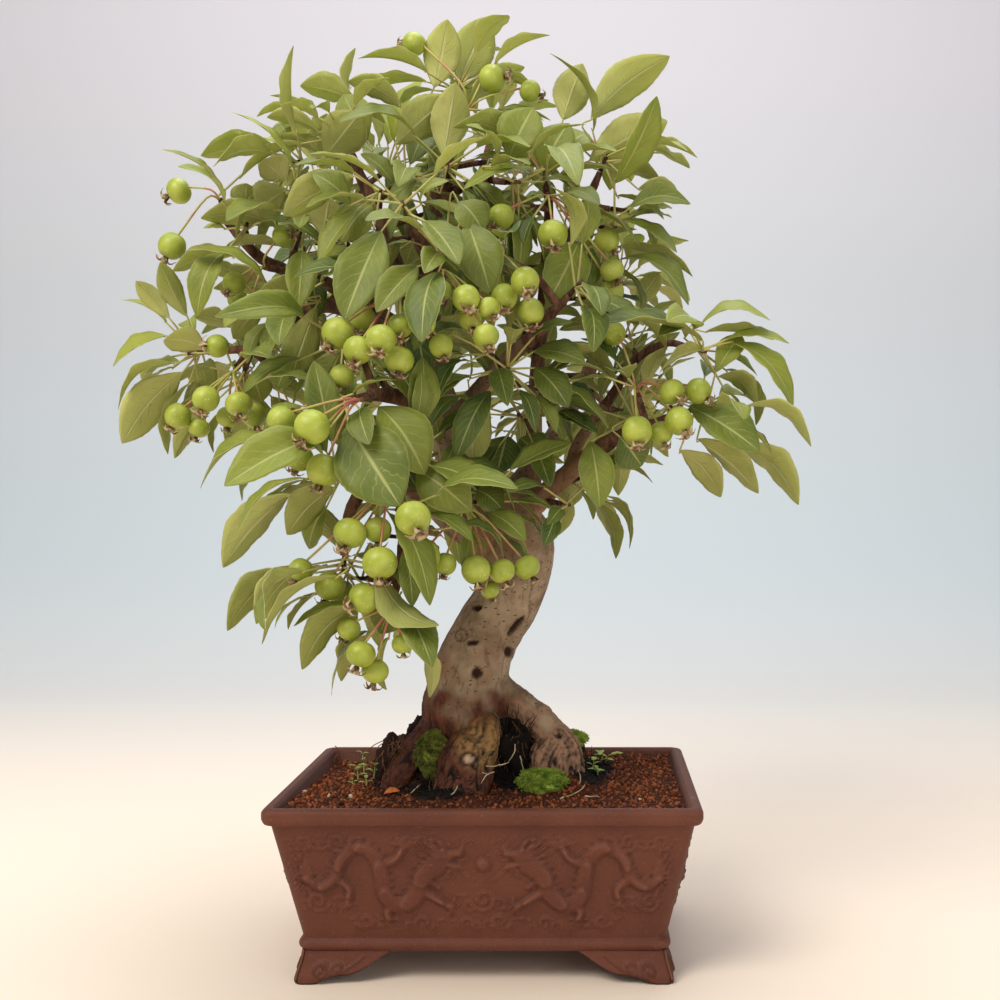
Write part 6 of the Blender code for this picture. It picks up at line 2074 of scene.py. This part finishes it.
mat = join_meshes(*clods, stems(fibres, 4, root_fibre), stems(black_fibres, 3, black_peat))
finish_piece("peat_and_root_mat", mat, "soil")

pale = []
for across, down, ahead, length in (
    (470, 764, (0.5, -0.5, -1), 12), (478, 768, (-0.3, -0.5, -1), 11), (486, 766, (0.9, -0.3, -0.35), 13),
    (494, 772, (-1, -0.4, -0.1), 10), (515, 744, (0.25, -0.3, -1), 11), (466, 772, (0.1, -0.4, -1), 8),
    (520, 756, (0.4, -0.2, -1), 9),
):
    pale.append(fibre(seen(across, down, -46 if across < 500 else -26), ahead, length, 0.42, luck))
finish_piece("pale_rootlets", stems(pale, 6, pale_fibre), "bark")

# %% Seedlings, grass and litter
def sprig(across, down, tall, pairs, leaf_long, luck, lean=(0, 0)):
    """A small plant: its stem's run, and a leaf row for each of its leaves."""
    foot = on_soil(across, down) - UP * MM
    top = foot + Vector((*lean, tall)) * MM
    middle = foot.lerp(top, 0.5) + Vector((0.4, 0, 0)) * MM
    stem = smooth_run([(*foot, 0.5 * MM), (*middle, 0.45 * MM), (*top, 0.3 * MM)], 4)
    rows = []
    for k in range(pairs):
        at = foot.lerp(top, (k + 1) / pairs)
        for side in (0, 1):
            turn = k * 1.6 + side * pi + luck.uniform(-0.3, 0.3)
            ahead = Vector((cos(turn), sin(turn), luck.uniform(0.1, 0.7))).normalized()
            rows.append((at, turn_of(at, at + ahead, UP), leaf_long * luck.uniform(0.7, 1.1) * MM))
    return stem, rows


def small_plants(name, sprigs, upper, under, tone):
    runs, rows = [], []
    for stem, more in sprigs:
        runs.append(stem)
        rows += more
    places, turns, lengths = zip(*rows)
    sizes = [(length, length * 0.62, length) for length in lengths]
    shapes = [k % len(blades) for k in range(len(rows))]
    plants = planted(leaf_shelf, places, turns, sizes, shapes, [tone] * len(rows), upper, under, "under")
    finish_piece(name, join_meshes(plants, stems(runs, 6, stalk_green)), "leaves")


weed_leaf = plain_surface("fresh weed leaf", "7f9a2c", "b3c452", 0.004, 0.5)
small_plants("weed_right", [
    sprig(600, 764, 6, 2, 9, luck, (1, -1)), sprig(604, 762, 4, 1, 10, luck, (2, 0)),
    sprig(597, 775, 4, 2, 6, luck), sprig(592, 768, 5, 2, 5, luck, (1, 0)),
], weed_leaf, weed_leaf, 0.8)
small_plants("seedlings_left", [
    sprig(358, 780, 9, 3, 5.5, luck, (-1, 0)), sprig(373, 778, 8, 2, 6.5, luck, (1, 0)),
    sprig(366, 786, 5, 2, 5, luck), sprig(364, 772, 11, 3, 4.5, luck, (-1, 1)),
    sprig(352, 784, 3, 2, 4, luck),
], weed_leaf, leaf_under, 0.7)
hairs = []
for across, down, tall, lean in (
    (340, 762, 11, (-3, 0)), (366, 765, 16, (11, 2)), (375, 760, 12, (6, 0)), (600, 765, 10, (4, 0)),
    (334, 766, 8, (2, 0)),
):
    foot = on_soil(across, down) - UP * MM
    middle = foot + Vector((lean[0] * 0.25, 0, tall * 0.7)) * MM
    tip = foot + Vector((*lean, tall)) * MM
    hairs.append(smooth_run([(*foot, 0.32 * MM), (*middle, 0.3 * MM), (*tip, 0.3 * MM)], 6))
finish_piece("grass_hairs", stems(hairs, 5, root_fibre), "leaves")

pebble_clay = plain_surface("pale pebble", "a89680", "d8cbb4", 0.003, 0.85)
spots = [
    (305, 793, 2.6), (329, 797, 2.1), (351, 798, 2.4), (376, 800, 1.5), (470, 803, 1.4), (640, 800, 1.5),
    (410, 801, 1.3),
]
places = [on_soil(across, down) + Vector((0, 0, size * 0.25)) * MM for across, down, size in spots]
turns = [[luck.uniform(0, 6.28) for _ in range(3)] for _ in spots]
sizes = [(size * 0.6 * MM, size * 0.45 * MM, size * 0.4 * MM) for _, _, size in spots]
pebble_shelf = shape_collection("pebble", [rough_ball(luck, 3, 0.5) for _ in range(3)])
shapes = [k % 3 for k in range(len(spots))]
pebbles = planted(pebble_shelf, places, turns, sizes, shapes, [0.5] * len(spots), pebble_clay)
finish_piece("pebbles", pebbles, "soil")

dry_leaf = plain_surface("dry orange leaf", "a8481c", "d88a4a", 0.004, 0.75)
spot = on_soil(391, 796)
finish_piece("dry_leaf_bits", planted(
    leaf_shelf,
    [spot + Vector((-4, 0, 0.8)) * MM, spot + Vector((3, -1, 1.2)) * MM], [(0.3, -0.2, 0.3), (-0.4, 0.3, -0.5)],
    [(9 * MM, 6 * MM, 12 * MM), (7 * MM, 4 * MM, 9 * MM)], [5, 3], [0.5, 0.5], dry_leaf,
), "leaves")
litter = []
for across, down, ahead, length in (
    (404, 798, (1, 0.2, 0.5), 11), (560, 800, (1, 0.3, 0.25), 16), (578, 786, (0.1, -0.5, 0.9), 10),
    (585, 797, (1, 0.1, 0.1), 9), (450, 796, (1, 0, 0.3), 7),
):
    litter.append(fibre(on_soil(across, down) + UP * 0.5 * MM, ahead, length, 0.45, luck))
finish_piece("loose_twigs", stems(litter, 6, pale_fibre), "bark")

# %% [markdown]
# ## Floor, light and camera
# A seamless sweep of pale paper, cream under the pot and cooler behind, lit by large soft lamps. The camera
# stands level in front of the pot and a little to its right, where the front view was drawn from.

# %% Backdrop
SWEEP_HALF_WIDTH = 2.4
SWEEP_FRONT = -1.6
SWEEP_BACK = 1.5
SWEEP_BEND = 0.6
SWEEP_TOP = 2.6


def backdrop_surface():
    made, tree, shader, place = surface("seamless paper", Roughness=0.95, IOR=1.3)
    _, y, z = add(tree, "SeparateXYZ", place).node.outputs
    back, up = add(tree, "MapRange", y, 0.25, 1.3), add(tree, "MapRange", z, 0.25, 1.1)
    colour = add(tree, "Mix", up, "ccd4d6", "dcd8dc", **COLOURS)
    paint(tree, shader, add(tree, "Mix", back, "f1e1cf", colour, **COLOURS))
    return made


def sweep_profile():
    points = [(SWEEP_FRONT, 0), (SWEEP_BACK - SWEEP_BEND, 0)]
    for k in range(1, 13):
        turn = pi / 2 * k / 12
        points.append((SWEEP_BACK - SWEEP_BEND + SWEEP_BEND * sin(turn), SWEEP_BEND * (1 - cos(turn))))
    return points + [(SWEEP_BACK, SWEEP_TOP)]


profile = sweep_profile()
verts = [(side * SWEEP_HALF_WIDTH, y, z) for y, z in profile for side in (-1, 1)]
faces = [(2 * k, 2 * k + 1, 2 * k + 3, 2 * k + 2) for k in range(len(profile) - 1)]
paper = mesh_from(verts, faces, backdrop_surface())
paper.shade_smooth()
held(paper, "backdrop")

# %% Lamps and camera
def softbox(name, place, target, size, power, colour="ffffff"):
    """A square lamp of that size that looks at a target."""
    lamp = bpy.data.lights.new(name, "AREA")
    lamp.shape = "SQUARE"
    lamp.size = size
    lamp.energy = power
    lamp.color = linear(colour)[:3]
    holder = held(lamp, name)
    holder.location = place
    holder.rotation_euler = (Vector(target) - Vector(place)).to_track_quat("-Z", "Y").to_euler()


softbox("key", (-0.7, -0.95, 1.35), (0, 0, 0.3), 0.8, 20, "fff8ec")
softbox("fill", (0.9, -1.2, 0.35), (0, 0, 0.3), 1.1, 6.5, "fff9f2")
softbox("top", (0.1, 0.3, 1.7), (0, 0, 0.2), 1.0, 9)
softbox("paper_light", (0, 0.2, 2.2), (0, 1.3, 0.5), 1.6, 19, "f2f4ff")

bpy.context.scene.view_settings.view_transform = "Standard"
world = bpy.data.worlds.new("studio")
world.use_nodes = True
world.node_tree.nodes["Background"].inputs["Color"].default_value = linear("dfe4ea")
world.node_tree.nodes["Background"].inputs["Strength"].default_value = 0.38
bpy.context.scene.world = world

camera = bpy.data.cameras.new("camera")
camera.lens = 46.8
camera.sensor_width = 36
camera.shift_x = -0.090
camera.shift_y = -0.003
camera.clip_start = 0.05
eye = held(camera, "camera")
eye.location = EYE + POT_CENTRE
eye.rotation_euler = (pi / 2, 0, 0)
bpy.context.scene.camera = eye
